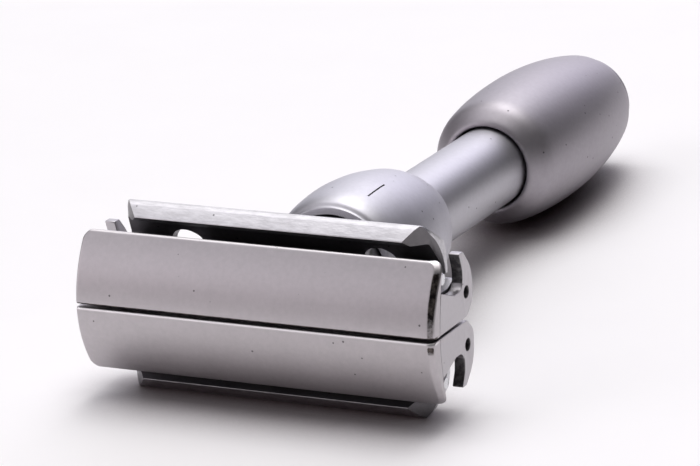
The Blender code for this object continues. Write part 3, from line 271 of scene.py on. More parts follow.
# Painted shadow on the floor where the razor lies: its reach and its colour
PAINTED_SHADOW_REACH = 0.014
PAINTED_SHADOW_COLOUR = (0.10, 0.055, 0.060, 1)
AMBIENT = (0.03, 0.03, 0.03)
GLOWS = (
    ("low behind", 90, 25, 32, (2.22, 2.15, 2.55)),
    ("low behind on the left", 120, 25, 32, (0.88, 0.88, 0.96)),
    ("high behind on the right", 60, 62, 32, (0.92, 0.89, 0.94)),
    ("high behind", 100, 62, 32, (6.15, 6.15, 6.10)),
    ("high on the left", 180, 62, 32, (2.37, 2.33, 2.42)),
    ("overhead", 0, 88, 32, (5.00, 4.92, 4.92)),
    ("low in front on the left", 225, 10, 20, (1.20, 1.09, 1.14)),
    ("middle in front on the left", 225, 28, 20, (1.32, 1.28, 1.36)),
    ("high in front on the left", 236, 48, 20, (0.34, 0.33, 0.35)),
    ("horizon behind", 118, 4, 10, (0.72, 0.71, 0.78)),
)
PHOTO_WIDTH_PIXELS = 700
FOCAL_LENGTH_PIXELS = 3954.99
SENSOR_WIDTH_MM = 36
NEAREST_SEEN = 0.01
CAMERA_PLACE = (0.206633, -0.457600, 0.169638)
CAMERA_TURN = (72.0205, 2.8994, 24.6862)

ALONG_HANDLE = Matrix.Identity(4)
ALONG_BLADE = Matrix(((0, 0, 1, 0), (1, 0, 0, 0), (0, 1, 0, 0), (0, 0, 0, 1)))
ACROSS_BLADE = Matrix(((1, 0, 0, 0), (0, 0, -1, 0), (0, 1, 0, 0), (0, 0, 0, 1)))


def box_centre(name):
    """Middle of a frame node's box."""
    low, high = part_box(name)
    return (Vector(low) + Vector(high)) / 2


def resting_place():
    """Matrix from the razor's own frame to where the frame lies, read from two hinge pins."""
    upper = box_centre("door_hinge_pin_upper_right")
    lower = box_centre("door_hinge_pin_lower_right")
    tilt = math.atan2(upper.y - lower.y, upper.z - lower.z)
    towards_head = Vector((0, -math.cos(tilt), math.sin(tilt)))
    crown = (upper + lower) / 2 + towards_head * HINGE_DEPTH * MM
    turn = Matrix.Rotation(math.pi / 2 - tilt, 4, 'X')
    return Matrix.Translation((0, crown.y, crown.z)) @ turn @ Matrix.Scale(MM, 4)


# Shapes
def new_object(name, mesh):
    """Link a mesh to the scene as an object."""
    thing = bpy.data.objects.new(name, mesh)
    bpy.context.scene.collection.objects.link(thing)
    return thing


def mesh_from(name, points, faces, edge_values=None, direction=ALONG_HANDLE):
    """Outward-facing mesh turned into the razor's frame, with each point's edge value for abrasion, painted
    shade and painted highlights.
    """
    mesh = bpy.data.meshes.new(name)
    mesh.from_pydata(points, [], faces)
    layer = mesh.attributes.new(EDGE_NAME, 'FLOAT', 'POINT')
    if edge_values is not None:
        layer.data.foreach_set("value", edge_values)
    mesh.transform(direction)
    work = bmesh.new()
    work.from_mesh(mesh)
    bmesh.ops.remove_doubles(work, verts=work.verts, dist=MERGE_DISTANCE)
    bmesh.ops.recalc_face_normals(work, faces=work.faces)
    work.to_mesh(mesh)
    work.free()
    return mesh


def arc(centre, radius, start, end, count):
    """Points along an arc, both ends included."""
    points = []
    for step in range(count + 1):
        angle = start + (end - start) * step / count
        points.append((centre[0] + radius * math.cos(angle), centre[1] + radius * math.sin(angle)))
    return points


def circle(centre, radius, sides):
    """Points of a closed circle."""
    return arc(centre, radius, 0, math.tau, sides)[:-1]


def mirrored(corners):
    """Closed outline corners from those on one side of the middle."""
    return list(corners) + [(-u, v, radius) for u, v, radius in reversed(corners)]


def rounded(corners, closed=True):
    """Outline points through corners given as (u, v, radius)."""
    points = []
    last_index = len(corners) - 1
    for index, (u, v, radius) in enumerate(corners):
        corner = Vector((u, v))
        if radius == 0 or (not closed and index in (0, last_index)):
            points.append((u, v))
            continue
        before = (Vector(corners[index - 1][:2]) - corner).normalized()
        after = (Vector(corners[(index + 1) % len(corners)][:2]) - corner).normalized()
        half = before.angle(after) / 2
        centre = corner + (before + after).normalized() * radius / math.sin(half)
        first = corner + before * radius / math.tan(half) - centre
        last = corner + after * radius / math.tan(half) - centre
        start = math.atan2(first.y, first.x)
        sweep = (math.atan2(last.y, last.x) - start + math.pi) % math.tau - math.pi
        count = max(2, math.ceil(abs(sweep) / ARC_STEP))
        points += arc(centre, radius, start, start + sweep, count)
    return points


def spline_through(points):
    """A smooth open line through points (centripetal)."""
    knots = [Vector(point) for point in points]
    knots = [2 * knots[0] - knots[1]] + knots + [2 * knots[-1] - knots[-2]]
    line = []
    for index in range(1, len(knots) - 2):
        a, b, c, d = knots[index - 1:index + 3]
        times = [0.0]
        for near, far in ((a, b), (b, c), (c, d)):
            times.append(times[-1] + max((far - near).length, 1e-6) ** 0.5)
        t0, t1, t2, t3 = times
        for step in range(SPLINE_STEPS):
            t = t1 + (t2 - t1) * step / SPLINE_STEPS
            ab = a * (t1 - t) / (t1 - t0) + b * (t - t0) / (t1 - t0)
            bc = b * (t2 - t) / (t2 - t1) + c * (t - t1) / (t2 - t1)
            cd = c * (t3 - t) / (t3 - t2) + d * (t - t2) / (t3 - t2)
            abc = ab * (t2 - t) / (t2 - t0) + bc * (t - t0) / (t2 - t0)
            bcd = bc * (t3 - t) / (t3 - t1) + cd * (t - t1) / (t3 - t1)
            line.append(tuple(abc * (t2 - t) / (t2 - t1) + bcd * (t - t1) / (t2 - t1)))
    line.append(tuple(knots[-2]))
    return line


def turned(name, profile, closed=True):
    """Mesh turned about the handle's axis from a (radius, depth) profile."""
    count = len(profile)
    points = []
    for step in range(TURN_STEPS):
        angle = math.tau * step / TURN_STEPS
        for radius, depth in profile:
            points.append((radius * math.cos(angle), radius * math.sin(angle), -depth))
    faces = []
    for step in range(TURN_STEPS):
        here, there = step * count, (step + 1) % TURN_STEPS * count
        for index in range(count if closed else count - 1):
            after = (index + 1) % count
            faces.append((here + index, there + index, there + after, here + after))
    return mesh_from(name, points, faces)


def edge_offsets(loop, inward):
    """How each point of a closed outline moves when its sides move in by one."""
    offsets = []
    for index, point in enumerate(loop):
        a = (point - loop[index - 1]).normalized()
        b = (loop[(index + 1) % len(loop)] - point).normalized()
        normal = Vector((-(a.y + b.y), a.x + b.x)).normalized()
        stretch = 1 / max(LEAST_CORNER_COSINE, math.sqrt(max(0.0, (1 + a.dot(b)) / 2)))
        offsets.append(normal * inward * stretch)
    return offsets


def plate(name, outlines, low, high, bevel, direction, bevel_steps=3, dark=None):
    """Closed mesh of flat outlines, the later ones holes, with rounded edges, and painted shade on the hole
    walls and wherever dark() says.
    """
    rings = []
    for step in range(bevel_steps + 1):
        angle = math.pi / 2 * step / bevel_steps
        rings.append((bevel * (1 - math.sin(angle)), low + bevel * (1 - math.cos(angle))))
    rings += [(inset, low + high - level) for inset, level in reversed(rings)]
    points, values, faces, loops = [], [], [], []
    for number, outline in enumerate(outlines):
        loop = [Vector(point) for point in outline]
        area = sum(a.x * b.y - a.y * b.x for a, b in zip(loop, loop[1:] + loop[:1]))
        offsets = edge_offsets(loop, 1 if (area > 0) == (number == 0) else -1)
        count, first = len(loop), len(points)
        for ring, (inset, level) in enumerate(rings):
            for point, offset in zip(loop, offsets):
                spot = point + offset * inset
                points.append((spot.x, spot.y, level))
                # Hole walls, and places that dark() names, get painted shade
                shade_painted = bool(number) or (dark is not None and dark(point.x, point.y))
                values.append(1.0 if shade_painted and 0 < ring < len(rings) - 1 else 0.0)
        for ring in range(len(rings) - 1):
            for index in range(count):
                after = (index + 1) % count
                a, b = first + ring * count, first + (ring + 1) * count
                faces.append((a + index, a + after, b + after, b + index))
        loops.append((first, count))
    for level in (0, len(rings) - 1):
        rims = [range(first + level * count, first + (level + 1) * count) for first, count in loops]
        indices = [index for rim in rims for index in rim]
        corners = [[Vector(points[index]) for index in rim] for rim in rims]
        faces += [tuple(indices[corner] for corner in face) for face in tessellate_polygon(corners)]
    return mesh_from(name, points, faces, values, direction)


def sharp_prism(outline, low, high, direction, material=None):
    """Closed sharp-edged prism, a blank or a cutter, with the finish of its faces."""
    mesh = plate("prism", [outline], low, high, SHARP_BEVEL, direction, 1)
    if material:
        mesh.materials.append(material)
    return mesh


def sharp_box(low, high, material=None):
    """Closed sharp-edged box between two corners, with the finish of its faces."""
    outline = [(low[0], low[1]), (high[0], low[1]), (high[0], high[1]), (low[0], high[1])]
    return sharp_prism(outline, low[2], high[2], ALONG_HANDLE, material)


def pin_mesh(name, radius, across, depth, inner, outer, bevel):
    """Round pin along the blade between two places, with rounded ends."""
    low, high = sorted((inner, outer))
    return plate(name, [circle((across, -depth), radius, PIN_SIDES)], low, high, bevel, ALONG_BLADE)


def settle(thing):
    """Apply a piece's modifiers and drop them."""
    bpy.context.view_layer.update()
    depsgraph = bpy.context.evaluated_depsgraph_get()
    done = bpy.data.meshes.new_from_object(thing.evaluated_get(depsgraph))
    thing.modifiers.clear()
    thing.data = done


def combine(thing, tool_mesh, operation='DIFFERENCE'):
    """Cut a piece by a tool shape, or keep what lies inside it, at once."""
    tool = new_object("tool", tool_mesh)
    change = thing.modifiers.new("cut", 'BOOLEAN')
    change.operation = operation
    change.solver = 'EXACT'
    change.material_mode = 'TRANSFER'
    change.object = tool
    settle(thing)
    bpy.data.objects.remove(tool, do_unlink=True)


def soften(thing, width, segments=2):
    """Round a piece's sharp edges a little."""
    bevel = thing.modifiers.new("soft edges", 'BEVEL')
    bevel.width = width
    bevel.segments = segments
    bevel.limit_method = 'ANGLE'
    bevel.angle_limit = SHARP_EDGE_ANGLE
    bevel.use_clamp_overlap = True
    bevel.miter_outer = 'MITER_ARC'


def shade(thing, angle):
    """Smooth shading with true flats."""
    thing.data.shade_smooth()
    thing.data.set_sharp_from_angle(angle=math.radians(angle))
    weighted = thing.modifiers.new("flat faces", 'WEIGHTED_NORMAL')
    weighted.keep_sharp = True
    weighted.weight = FLAT_FACE_WEIGHT


# Doors
def crown_depth(across):
    """Depth of the door's outer surface at a distance from the seam plane."""
    return DOOR_EDGE_DEPTH * (across / DOOR_HALF_WIDTH) ** 2


def underside_depth(across):
    """Depth of the door's underside at a distance from the seam plane."""
    growth = DOOR_EDGE_DEPTH + DOOR_EDGE_THICKNESS - SEAM_THICKNESS
    return SEAM_THICKNESS + growth * (across / DOOR_HALF_WIDTH) ** 2


def roll(distance, radius):
    """How far a rounded edge of that radius has dropped at a distance from the edge."""
    if distance >= radius:
        return 0.0
    return radius - math.sqrt(max(0.0, radius ** 2 - (radius - distance) ** 2))


def chamfer_drop(distance):
    """Drop of the soft-edged end chamfer at a distance from the door's end."""
    inside = (CHAMFER_LENGTH - distance) / CHAMFER_SOFTNESS
    soft = CHAMFER_SOFTNESS * (inside if inside > 30 else math.log1p(math.exp(inside)))
    return CHAMFER_DEPTH * soft / CHAMFER_LENGTH


def door_rows():
    """Distances across the door of its rows of points, and each row's half length."""
    quarter = math.pi / 2
    rows = []
    for step in range(SEAM_ROWS + 1):
        rows.append(SEAM_HALF_GAP + SEAM_EDGE_RADIUS * (1 - math.cos(quarter * step / SEAM_ROWS)))
    start, flat_end = rows[-1], DOOR_HALF_WIDTH - DOOR_CORNER_RADIUS
    for step in range(1, FLAT_ROWS + 1):
        rows.append(start + (flat_end - start) * step / FLAT_ROWS)
    for step in range(1, CORNER_ROWS + 1):
        rows.append(flat_end + DOOR_CORNER_RADIUS * math.sin(quarter * step / CORNER_ROWS))
    halves = []
    for across in rows:
        over = max(0.0, across - flat_end)
        inset = DOOR_CORNER_RADIUS - math.sqrt(max(0.0, DOOR_CORNER_RADIUS ** 2 - over ** 2))
        halves.append(DOOR_HALF_LENGTH - inset)
    return rows, halves


def rise(value, limits):
    """Rise smoothly from 0 at the first limit to 1 at the second."""
    share = min(1.0, max(0.0, (value - limits[0]) / (limits[1] - limits[0])))
    return share * share * (3 - 2 * share)


def door_scuffs_and_painted_light(side, from_end, across):
    """Marks of a door: above 0 dark, as an abraded band on its right end and as painted shade along the
    upper door's seam edge, and below 0 a painted highlight along the upper door's free edge and the lower
    door's seam edge.
    """
    band = rise(from_end, BAND_START) * (1 - rise(from_end, BAND_STOP))
    from_seam = across - SEAM_HALF_GAP
    if side > 0:
        band *= 1 - rise(across, UPPER_BAND_STOP)
        band *= UPPER_BAND_LEAST + (1 - UPPER_BAND_LEAST) * rise(across, UPPER_BAND_RISE)
        # Painted shade on the upper door's seam edge, and a painted highlight along its free edge
        seam = 1 - rise(from_seam, SEAM_SHADE_STOP)
        return max(band, seam) - RIM_HIGHLIGHT_STRENGTH * rise(across, RIM_HIGHLIGHT_START)
    band *= rise(across, LOWER_BAND_START) * (1 - rise(across, LOWER_BAND_STOP))
    # Painted highlight along the lower door's seam edge
    return band - rise(from_seam, SEAM_HIGHLIGHT_START) * (1 - rise(from_seam, SEAM_HIGHLIGHT_STOP))


def door_cap_mesh(name, side):
    """Cap of one door as two height fields, with rolled edges and a chamfered right end."""
    rows, halves = door_rows()
    columns = len(END_STEPS) * 2
    top, bottom, scuffs_and_painted_light = [], [], []
    for across, half in zip(rows, halves):
        for index in range(columns):
            on_left = index < len(END_STEPS)
            from_end = END_STEPS[index] if on_left else END_STEPS[columns - 1 - index]
            from_end *= half / DOOR_HALF_LENGTH
            along = from_end - half - DOOR_LEFT_EXTRA if on_left else half - from_end
            to_free = DOOR_HALF_WIDTH - across
            drop = roll(min(from_end, to_free), DOOR_LEFT_ROLL if on_left else DOOR_ROLL)
            drop += roll(across - SEAM_HALF_GAP, SEAM_EDGE_RADIUS)
            drop += chamfer_drop(half - along)
            depth = crown_depth(across) + drop
            under = max(underside_depth(across), depth + DOOR_LEAST_THICKNESS)
            top.append((along, side * across, -depth))
            bottom.append((along, side * across, -under))
            scuffs_and_painted_light.append(door_scuffs_and_painted_light(side, half - along, across))
    last = len(rows) - 1
    faces = []
    for row in range(last):
        for column in range(columns - 1):
            a = row * columns + column
            quad = (a, a + 1, a + 1 + columns, a + columns)
            faces.append(quad)
            faces.append(tuple(corner + len(top) for corner in reversed(quad)))
    ring = list(range(columns))
    ring += [row * columns + columns - 1 for row in range(1, last + 1)]
    ring += [last * columns + column for column in range(columns - 2, -1, -1)]
    ring += [row * columns for row in range(last - 1, 0, -1)]
    for a, b in zip(ring, ring[1:] + ring[:1]):
        faces.append((a, a + len(top), b + len(top), b))
    return mesh_from(name, top + bottom, faces, scuffs_and_painted_light + [0.0] * len(bottom))


def door_end_mesh(name, side, end):
    """Hooked end plate of a door with its pivot hole, with painted shade in the hole and in the notch at the
    right end.
    """
    tip = HOOK_TIP + HOOK_TIP_SKEW * side
    front = []
    for step in range(PLATE_FRONT_STEPS, -1, -1):
        across = max(SEAM_HALF_GAP, PLATE_FRONT_WIDTH * step / PLATE_FRONT_STEPS)
        front.append((across, -underside_depth(across) - JOINT_LINE, 0))
    corners = front + [
        (SEAM_HALF_GAP, -PLATE_HEEL_DEPTH, 1.6), (PLATE_BACK_SPAN[0], -PLATE_BACK_DEPTH, 1.8),
        (PLATE_BACK_SPAN[1], -PLATE_BACK_DEPTH, 4.8), (tip, -HOOK_TIP_DEPTHS[0], 0.5),
        (tip, -HOOK_TIP_DEPTHS[1], 0.2), (NOTCH_MOUTH, -NOTCH_DEPTHS[0], 2.5),
        (NOTCH_SIDE, -NOTCH_DEPTHS[0], 1.4), (NOTCH_SIDE, -NOTCH_DEPTHS[1], 1.0)]
    outline = [(side * u, v) for u, v in rounded(corners)]
    hole = circle((side * HINGE_HALF_SPACING, -HINGE_DEPTH), HINGE_HOLE_RADIUS, PIN_SIDES)
    low, high = sorted((end * PLATE_INNER, end * DOOR_HALF_LENGTH))

    def in_dark_notch(across, height):
        reaches = DARK_NOTCH_START < abs(across) < tip - DARK_NOTCH_MARGIN
        return end == RIGHT and reaches and DARK_NOTCH_DEPTHS[0] < -height < DARK_NOTCH_DEPTHS[1]

    return plate(name, [outline, hole], low, high, PLATE_BEVEL, ALONG_BLADE, dark=in_dark_notch)


# Guard
def guard_section():
    """Outline of the guard across the blade: ridges, flats, rims and back."""
    flat_span = RIDGE_HALF_SPAN + (RIM_HALF_SPAN - RIDGE_HALF_SPAN) * RIM_FLAT_SHARE
    flat_depth = RIDGE_DEPTH + (RIM_DEPTH - RIDGE_DEPTH) * RIM_FLAT_SHARE
    half = [(RIDGE_HALF_SPAN - RIDGE_WIDTH, -RIDGE_DEPTH, 0), (RIDGE_HALF_SPAN, -RIDGE_DEPTH, 0.1),
            (flat_span, -flat_depth, 0), *RIM_CORNERS, (GUARD_HEEL_HALF_SPAN, -GUARD_BACK, 0.3)]
    return rounded(mirrored(half))


def guard_plan():
    """Outline of the guard seen along the handle: elliptic corners between straight rims."""
    quarter = []
    for step in range(GUARD_CORNER_STEPS + 1):
        angle = math.pi / 2 * step / GUARD_CORNER_STEPS
        along = RIM_HALF_LENGTH + (GUARD_END - RIM_HALF_LENGTH) * math.cos(angle)
        across = ARM_SLOT_HALF_WIDTH + (RIM_HALF_SPAN - ARM_SLOT_HALF_WIDTH) * math.sin(angle)
        quarter.append((along, across))
    quarter.append((RIM_HALF_LENGTH, RIM_HALF_SPAN + CUT_OVERRUN))
    upper = quarter + [(-u, v) for u, v in reversed(quarter)]
    return upper + [(-u, -v) for u, v in upper]


def cut_guard_ends(guard, above):
    """Cut the sloping ends of the rims and the slots for the centre bar's arms."""
    beyond = GUARD_HALF_LENGTH + CUT_OVERRUN
    below = -GUARD_BACK - CUT_OVERRUN
    slope = [(RIDGE_HALF_LENGTH, -RIDGE_DEPTH), *GUARD_SLOPE, (GUARD_HALF_LENGTH, -GUARD_BACK),
             (GUARD_HALF_LENGTH, below), (beyond, below), (beyond, above), (RIDGE_HALF_LENGTH, above)]
    reach = RIM_HALF_SPAN + CUT_OVERRUN
    for end in (LEFT, RIGHT):
        outline = [(end * u, v) for u, v in slope]
        # The sloping end faces get painted shade
        combine(guard, sharp_prism(outline, -reach, reach, ACROSS_BLADE, slope_painted_shade))
        low, high = sorted((end * ARM_SLOT_START, end * beyond))
        combine(guard, sharp_box((low, -ARM_SLOT_HALF_WIDTH, below), (high, ARM_SLOT_HALF_WIDTH, above)))


def cut_guard_holes(guard):
    """Cut the drain holes, the stem's hole and the screw holes with their recesses."""
    below = -GUARD_BACK - CUT_OVERRUN
    in_trough = -TROUGH_FLOOR + CUT_OVERRUN
    for along in (-DRAIN_ALONG, DRAIN_ALONG):
        for across in (-DRAIN_ACROSS, DRAIN_ACROSS):
            hole = circle((along, across), DRAIN_RADIUS, DRAIN_SIDES)
            # The drain holes' walls get painted shade
            combine(guard, sharp_prism(hole, below, in_trough + CUT_OVERRUN, ALONG_HANDLE, recess_painted_shade))
    stem = circle((0, 0), STEM_HOLE_RADIUS, STEM_HOLE_SIDES)
    combine(guard, sharp_prism(stem, below, in_trough, ALONG_HANDLE))
    for along in (-SCREW_ALONG, SCREW_ALONG):
        shank = circle((along, 0), SCREW_HOLE_RADIUS, SCREW_SIDES)
        head = circle((along, 0), SCREW_HEAD_RADIUS, SCREW_SIDES)
        combine(guard, sharp_prism(shank, below, in_trough, ALONG_HANDLE))
        combine(guard, sharp_prism(head, -SCREW_HEAD_DEPTH, in_trough, ALONG_HANDLE))


def guard_object():
    """Guard plate: its section trimmed to its plan, then trough, ends and holes cut."""
    length = GUARD_HALF_LENGTH + CUT_OVERRUN
    above = -RIDGE_DEPTH + CUT_OVERRUN
    guard = new_object("guard_fine", sharp_prism(guard_section(), -length, length, ALONG_BLADE, guard_satin))
    plan = sharp_prism(guard_plan(), -GUARD_BACK - CUT_OVERRUN, above, ALONG_HANDLE)
    combine(guard, plan, 'INTERSECT')
    mouth = RIDGE_HALF_SPAN - RIDGE_WIDTH
    trough = rounded(mirrored([(mouth, above, 0), (mouth, -RIDGE_DEPTH, 0), *TROUGH_CORNERS]))
    length += CUT_OVERRUN
    # The trough's faces get painted shade
    combine(guard, sharp_prism(trough, -length, length, ALONG_BLADE, recess_painted_shade))
    cut_guard_ends(guard, above)
    cut_guard_holes(guard)
    soften(guard, GUARD_SOFTNESS, 3)
    settle(guard)
    return guard


def sleeve_mesh():
    """The guard's sleeve: flange, stem and the collar seen in the dial's mouth."""
    return turned("sleeve_fine", rounded([
        (SLEEVE_FLANGE_RADIUS, SLEEVE_FRONT, 0.15), (SLEEVE_FLANGE_RADIUS, SLEEVE_FLANGE_BACK, 0.15),
        (SLEEVE_RADIUS, SLEEVE_FLANGE_BACK, 0.3), (SLEEVE_RADIUS, COLLAR_FRONT, 0),
        (COLLAR_RADIUS, COLLAR_FRONT, 0.8), (COLLAR_RADIUS, SLEEVE_END, 0.2),
        (SPRING_POCKET_RADIUS, SLEEVE_END, 0), (SPRING_POCKET_RADIUS, SPRING_POCKET_FRONT, 0),
        (SLEEVE_BORE, SPRING_POCKET_FRONT, 0), (SLEEVE_BORE, SLEEVE_FRONT, 0)]))


# Dial, handle and knob
def barrel(name, front, end, largest, shares, inner):
    """Swollen turned piece from shares (along, across) of its outline and its inner corners."""
    outer = [(across * largest, front + along * (end - front)) for along, across in shares]
    outer = spline_through(outer)
    inner = [(outer[-1][0], end, 0), *inner, (outer[0][0], front, 0)]
    return turned(name, outer + rounded(inner, False)[1:-1])


def dial_object():
    """The dial with its rounded lip, cavity, groove and back wall, and its painted index line."""
    groove_front, groove_end = DIAL_GROOVE_SPAN
    dial = new_object("adjusting_dial_fine", barrel(
        "dial_fine", DIAL_FRONT, DIAL_END, DIAL_RADIUS, DIAL_SHARES, [
            (BORE_ROUND_HANDLE, DIAL_END, 0.12), (BORE_ROUND_HANDLE, DIAL_WALL, 0),
            (DIAL_CAVITY, DIAL_WALL, 0.2), (DIAL_CAVITY, groove_end, 0),
            (DIAL_GROOVE, groove_end, 0), (DIAL_GROOVE, groove_front, 0),
            (DIAL_CAVITY, groove_front, 0), (DIAL_CAVITY, DIAL_LIP_END, 0), (DIAL_LIP, DIAL_LIP_END, 0),
            (DIAL_LIP, DIAL_FRONT, 0.12)]))
    dial.data.materials.append(dial_satin)
    mark = sharp_box(MARK_LOW, MARK_HIGH, mark_paint)
    mark.transform(Matrix.Rotation(MARK_TURN, 4, 'Z'))
    combine(dial, mark)
    return dial


def knob_mesh():
    """The knob with its rounded mouth and its bores."""
    return barrel("knob_fine", KNOB_FRONT, KNOB_END, KNOB_RADIUS, KNOB_SHARES, [
        (NUT_ROOM_RADIUS, KNOB_END, 0), (NUT_ROOM_RADIUS, NUT_ROOM_FRONT, 0),
        (CLIP_ROOM_RADIUS, NUT_ROOM_FRONT, 0), (CLIP_ROOM_RADIUS, CLIP_ROOM_FRONT, 0),
        (BEARING_RADIUS, CLIP_ROOM_FRONT, 0), (BEARING_RADIUS, KNOB_STEP, 0),
        (BORE_ROUND_HANDLE, KNOB_STEP, 0), (BORE_ROUND_HANDLE, KNOB_FRONT, 0.3)])


def handle_mesh():
    """The handle tube: flange, grip, journal with its two grooves, and the bores inside."""
    ring_front, ring_end = RING_GROOVE_SPAN
    clip_front, clip_end = CLIP_GROOVE_SPAN
    return turned("handle_fine", rounded([
        (FLANGE_RADIUS, FLANGE_FRONT, 0.15), (FLANGE_RADIUS, FLANGE_BACK, 0.15),
        (HANDLE_RADIUS, FLANGE_BACK, 0), (HANDLE_RADIUS, HANDLE_SHOULDER, 0.3),
        (JOURNAL_RADIUS, HANDLE_SHOULDER, 0), (JOURNAL_RADIUS, ring_front, 0),
        (RING_GROOVE_RADIUS, ring_front, 0), (RING_GROOVE_RADIUS, ring_end, 0),
        (JOURNAL_RADIUS, ring_end, 0), (JOURNAL_RADIUS, clip_front, 0),
        (CLIP_GROOVE_RADIUS, clip_front, 0), (CLIP_GROOVE_RADIUS, clip_end, 0),
        (JOURNAL_RADIUS, clip_end, 0), (JOURNAL_RADIUS, JOURNAL_END, 0),
        (BUSH_ROOM_RADIUS, JOURNAL_END, 0), (BUSH_ROOM_RADIUS, BUSH_ROOM_FRONT, 0),
        (ROD_ROOM_RADIUS, BUSH_ROOM_FRONT, 0), (ROD_ROOM_RADIUS, NECK_ROOM_END, 0),
        (NECK_ROOM_RADIUS, NECK_ROOM_END, 0), (NECK_ROOM_RADIUS, FLANGE_FRONT, 0)]))


def end_cap_mesh():
    """The knob's end cap with its slightly domed edge."""
    return turned("end_cap_fine", rounded([
        (0, SPIGOT_BORE_END, 0), (SPIGOT_BORE, SPIGOT_BORE_END, 0), (SPIGOT_BORE, SPIGOT_FRONT, 0),
        (SPIGOT_RADIUS, SPIGOT_FRONT, 0), (SPIGOT_RADIUS, END_CAP_FRONT, 0),
        (END_CAP_RADIUS, END_CAP_FRONT, 0.1), *END_CAP_EDGE, (0, END_CAP_END, 0)], False), False)


# Materials
def node(tree, kind, place, **values):
    """Add a shader node and set its sockets and properties."""
    made = tree.nodes.new(kind)
    made.location = place
    for key, value in values.items():
        if key in made.inputs:
            made.inputs[key].default_value = value
        else:
            setattr(made, key, value)
    return made


def feed(tree, socket, value):
    """Link a socket to another, or give it a plain value."""
    if isinstance(value, bpy.types.NodeSocket):
        tree.links.new(value, socket)
    else:
        socket.default_value = value


def math_node(tree, operation, place, *values):
    """A Math node fed by sockets or numbers."""
    made = node(tree, 'ShaderNodeMath', place, operation=operation)
    for socket, value in zip(made.inputs, values):
        feed(tree, socket, value)
    return made.outputs[0]


def noise(tree, vector, place, scale, detail, roughness):
    """Noise read in the object's own coordinates."""
    made = node(tree, 'ShaderNodeTexNoise', place, Scale=scale, Detail=detail, Roughness=roughness)
    tree.links.new(vector, made.inputs["Vector"])
    return made.outputs["Fac"]


def span(tree, value, place, low, high, to_low, to_high):
    """Map a value from one range to another, clamped."""
    made = node(tree, 'ShaderNodeMapRange', place)
    for socket, number in zip(made.inputs, (value, low, high, to_low, to_high)):
        feed(tree, socket, number)
    return made.outputs[0]


def mix_colour(tree, factor, first, second, place):
    """Mix two colours, each a socket or a plain colour."""
    made = node(tree, 'ShaderNodeMix', place, data_type='RGBA')
    for index, value in ((0, factor), (6, first), (7, second)):
        feed(tree, made.inputs[index], value)
    return made.outputs[2]


def bumped(tree, shader, height, strength, place):
    """Give a shader a fine bump from a height."""
    bump = node(tree, 'ShaderNodeBump', place, Strength=strength, Distance=BUMP_HEIGHT)
    tree.links.new(height, bump.inputs["Height"])
    tree.links.new(bump.outputs["Normal"], shader.inputs["Normal"])


def new_material(name):
    """A material with its node tree and its shader."""
    material = bpy.data.materials.new(name)
    material.use_nodes = True
    tree = material.node_tree
    return material, tree, tree.nodes["Principled BSDF"]


def dust_tone(tree, plain):
    """Darkening by scattered small specks of dust."""
    cells = node(tree, 'ShaderNodeTexVoronoi', (-1100, -600), Scale=DUST_SCALE, Randomness=1.0)
    tree.links.new(plain, cells.inputs["Vector"])
    distance = cells.outputs["Distance"]
    return span(tree, distance, (-850, -600), DUST_RADIUS, DUST_RADIUS * 1.5, DUST_TONE, 1.0)


def apply_scuffs_and_painted_light(tree, plain, base, rough, scuffs_and_painted_light):
    """Colour and roughness with painted highlights where a mesh's edge value is below 0, and dark tones
    where it is above 0: abrasion on the doors' bands, and painted shade on their seam and in the end plates'
    holes and notch.
    """
    edge = node(tree, 'ShaderNodeAttribute', (-1100, 800), attribute_name=EDGE_NAME).outputs["Fac"]
    patches = noise(tree, plain, (-1100, 1050), WEAR_PATCH_SCALE, 5.0, 0.75)
    ragged = math_node(tree, 'MULTIPLY_ADD', (-850, 900), patches, 0.8, edge)
    mask = span(tree, ragged, (-650, 900), 0.82, 1.16, 0.0, 1.0)
    blots = noise(tree, plain, (-1100, 1300), STAIN_SCALE, 3.0, 0.6)
    blots = span(tree, blots, (-850, 1300), 0.42, 0.62, 0.0, 1.0)
    scuff_and_shade_colour = mix_colour(tree, blots, scuffs_and_painted_light[0], scuffs_and_painted_light[1], (-450, 1100))
    painted_highlight = span(tree, edge, (-650, 700), -1.0, 0.0, 1.0, 0.0)
    base = mix_colour(tree, painted_highlight, base, PAINTED_HIGHLIGHT_COLOUR, (-250, 300))
    base = mix_colour(tree, mask, base, scuff_and_shade_colour, (-150, 300))
    return base, math_node(tree, 'MULTIPLY_ADD', (-250, 600), mask, 0.15, rough)


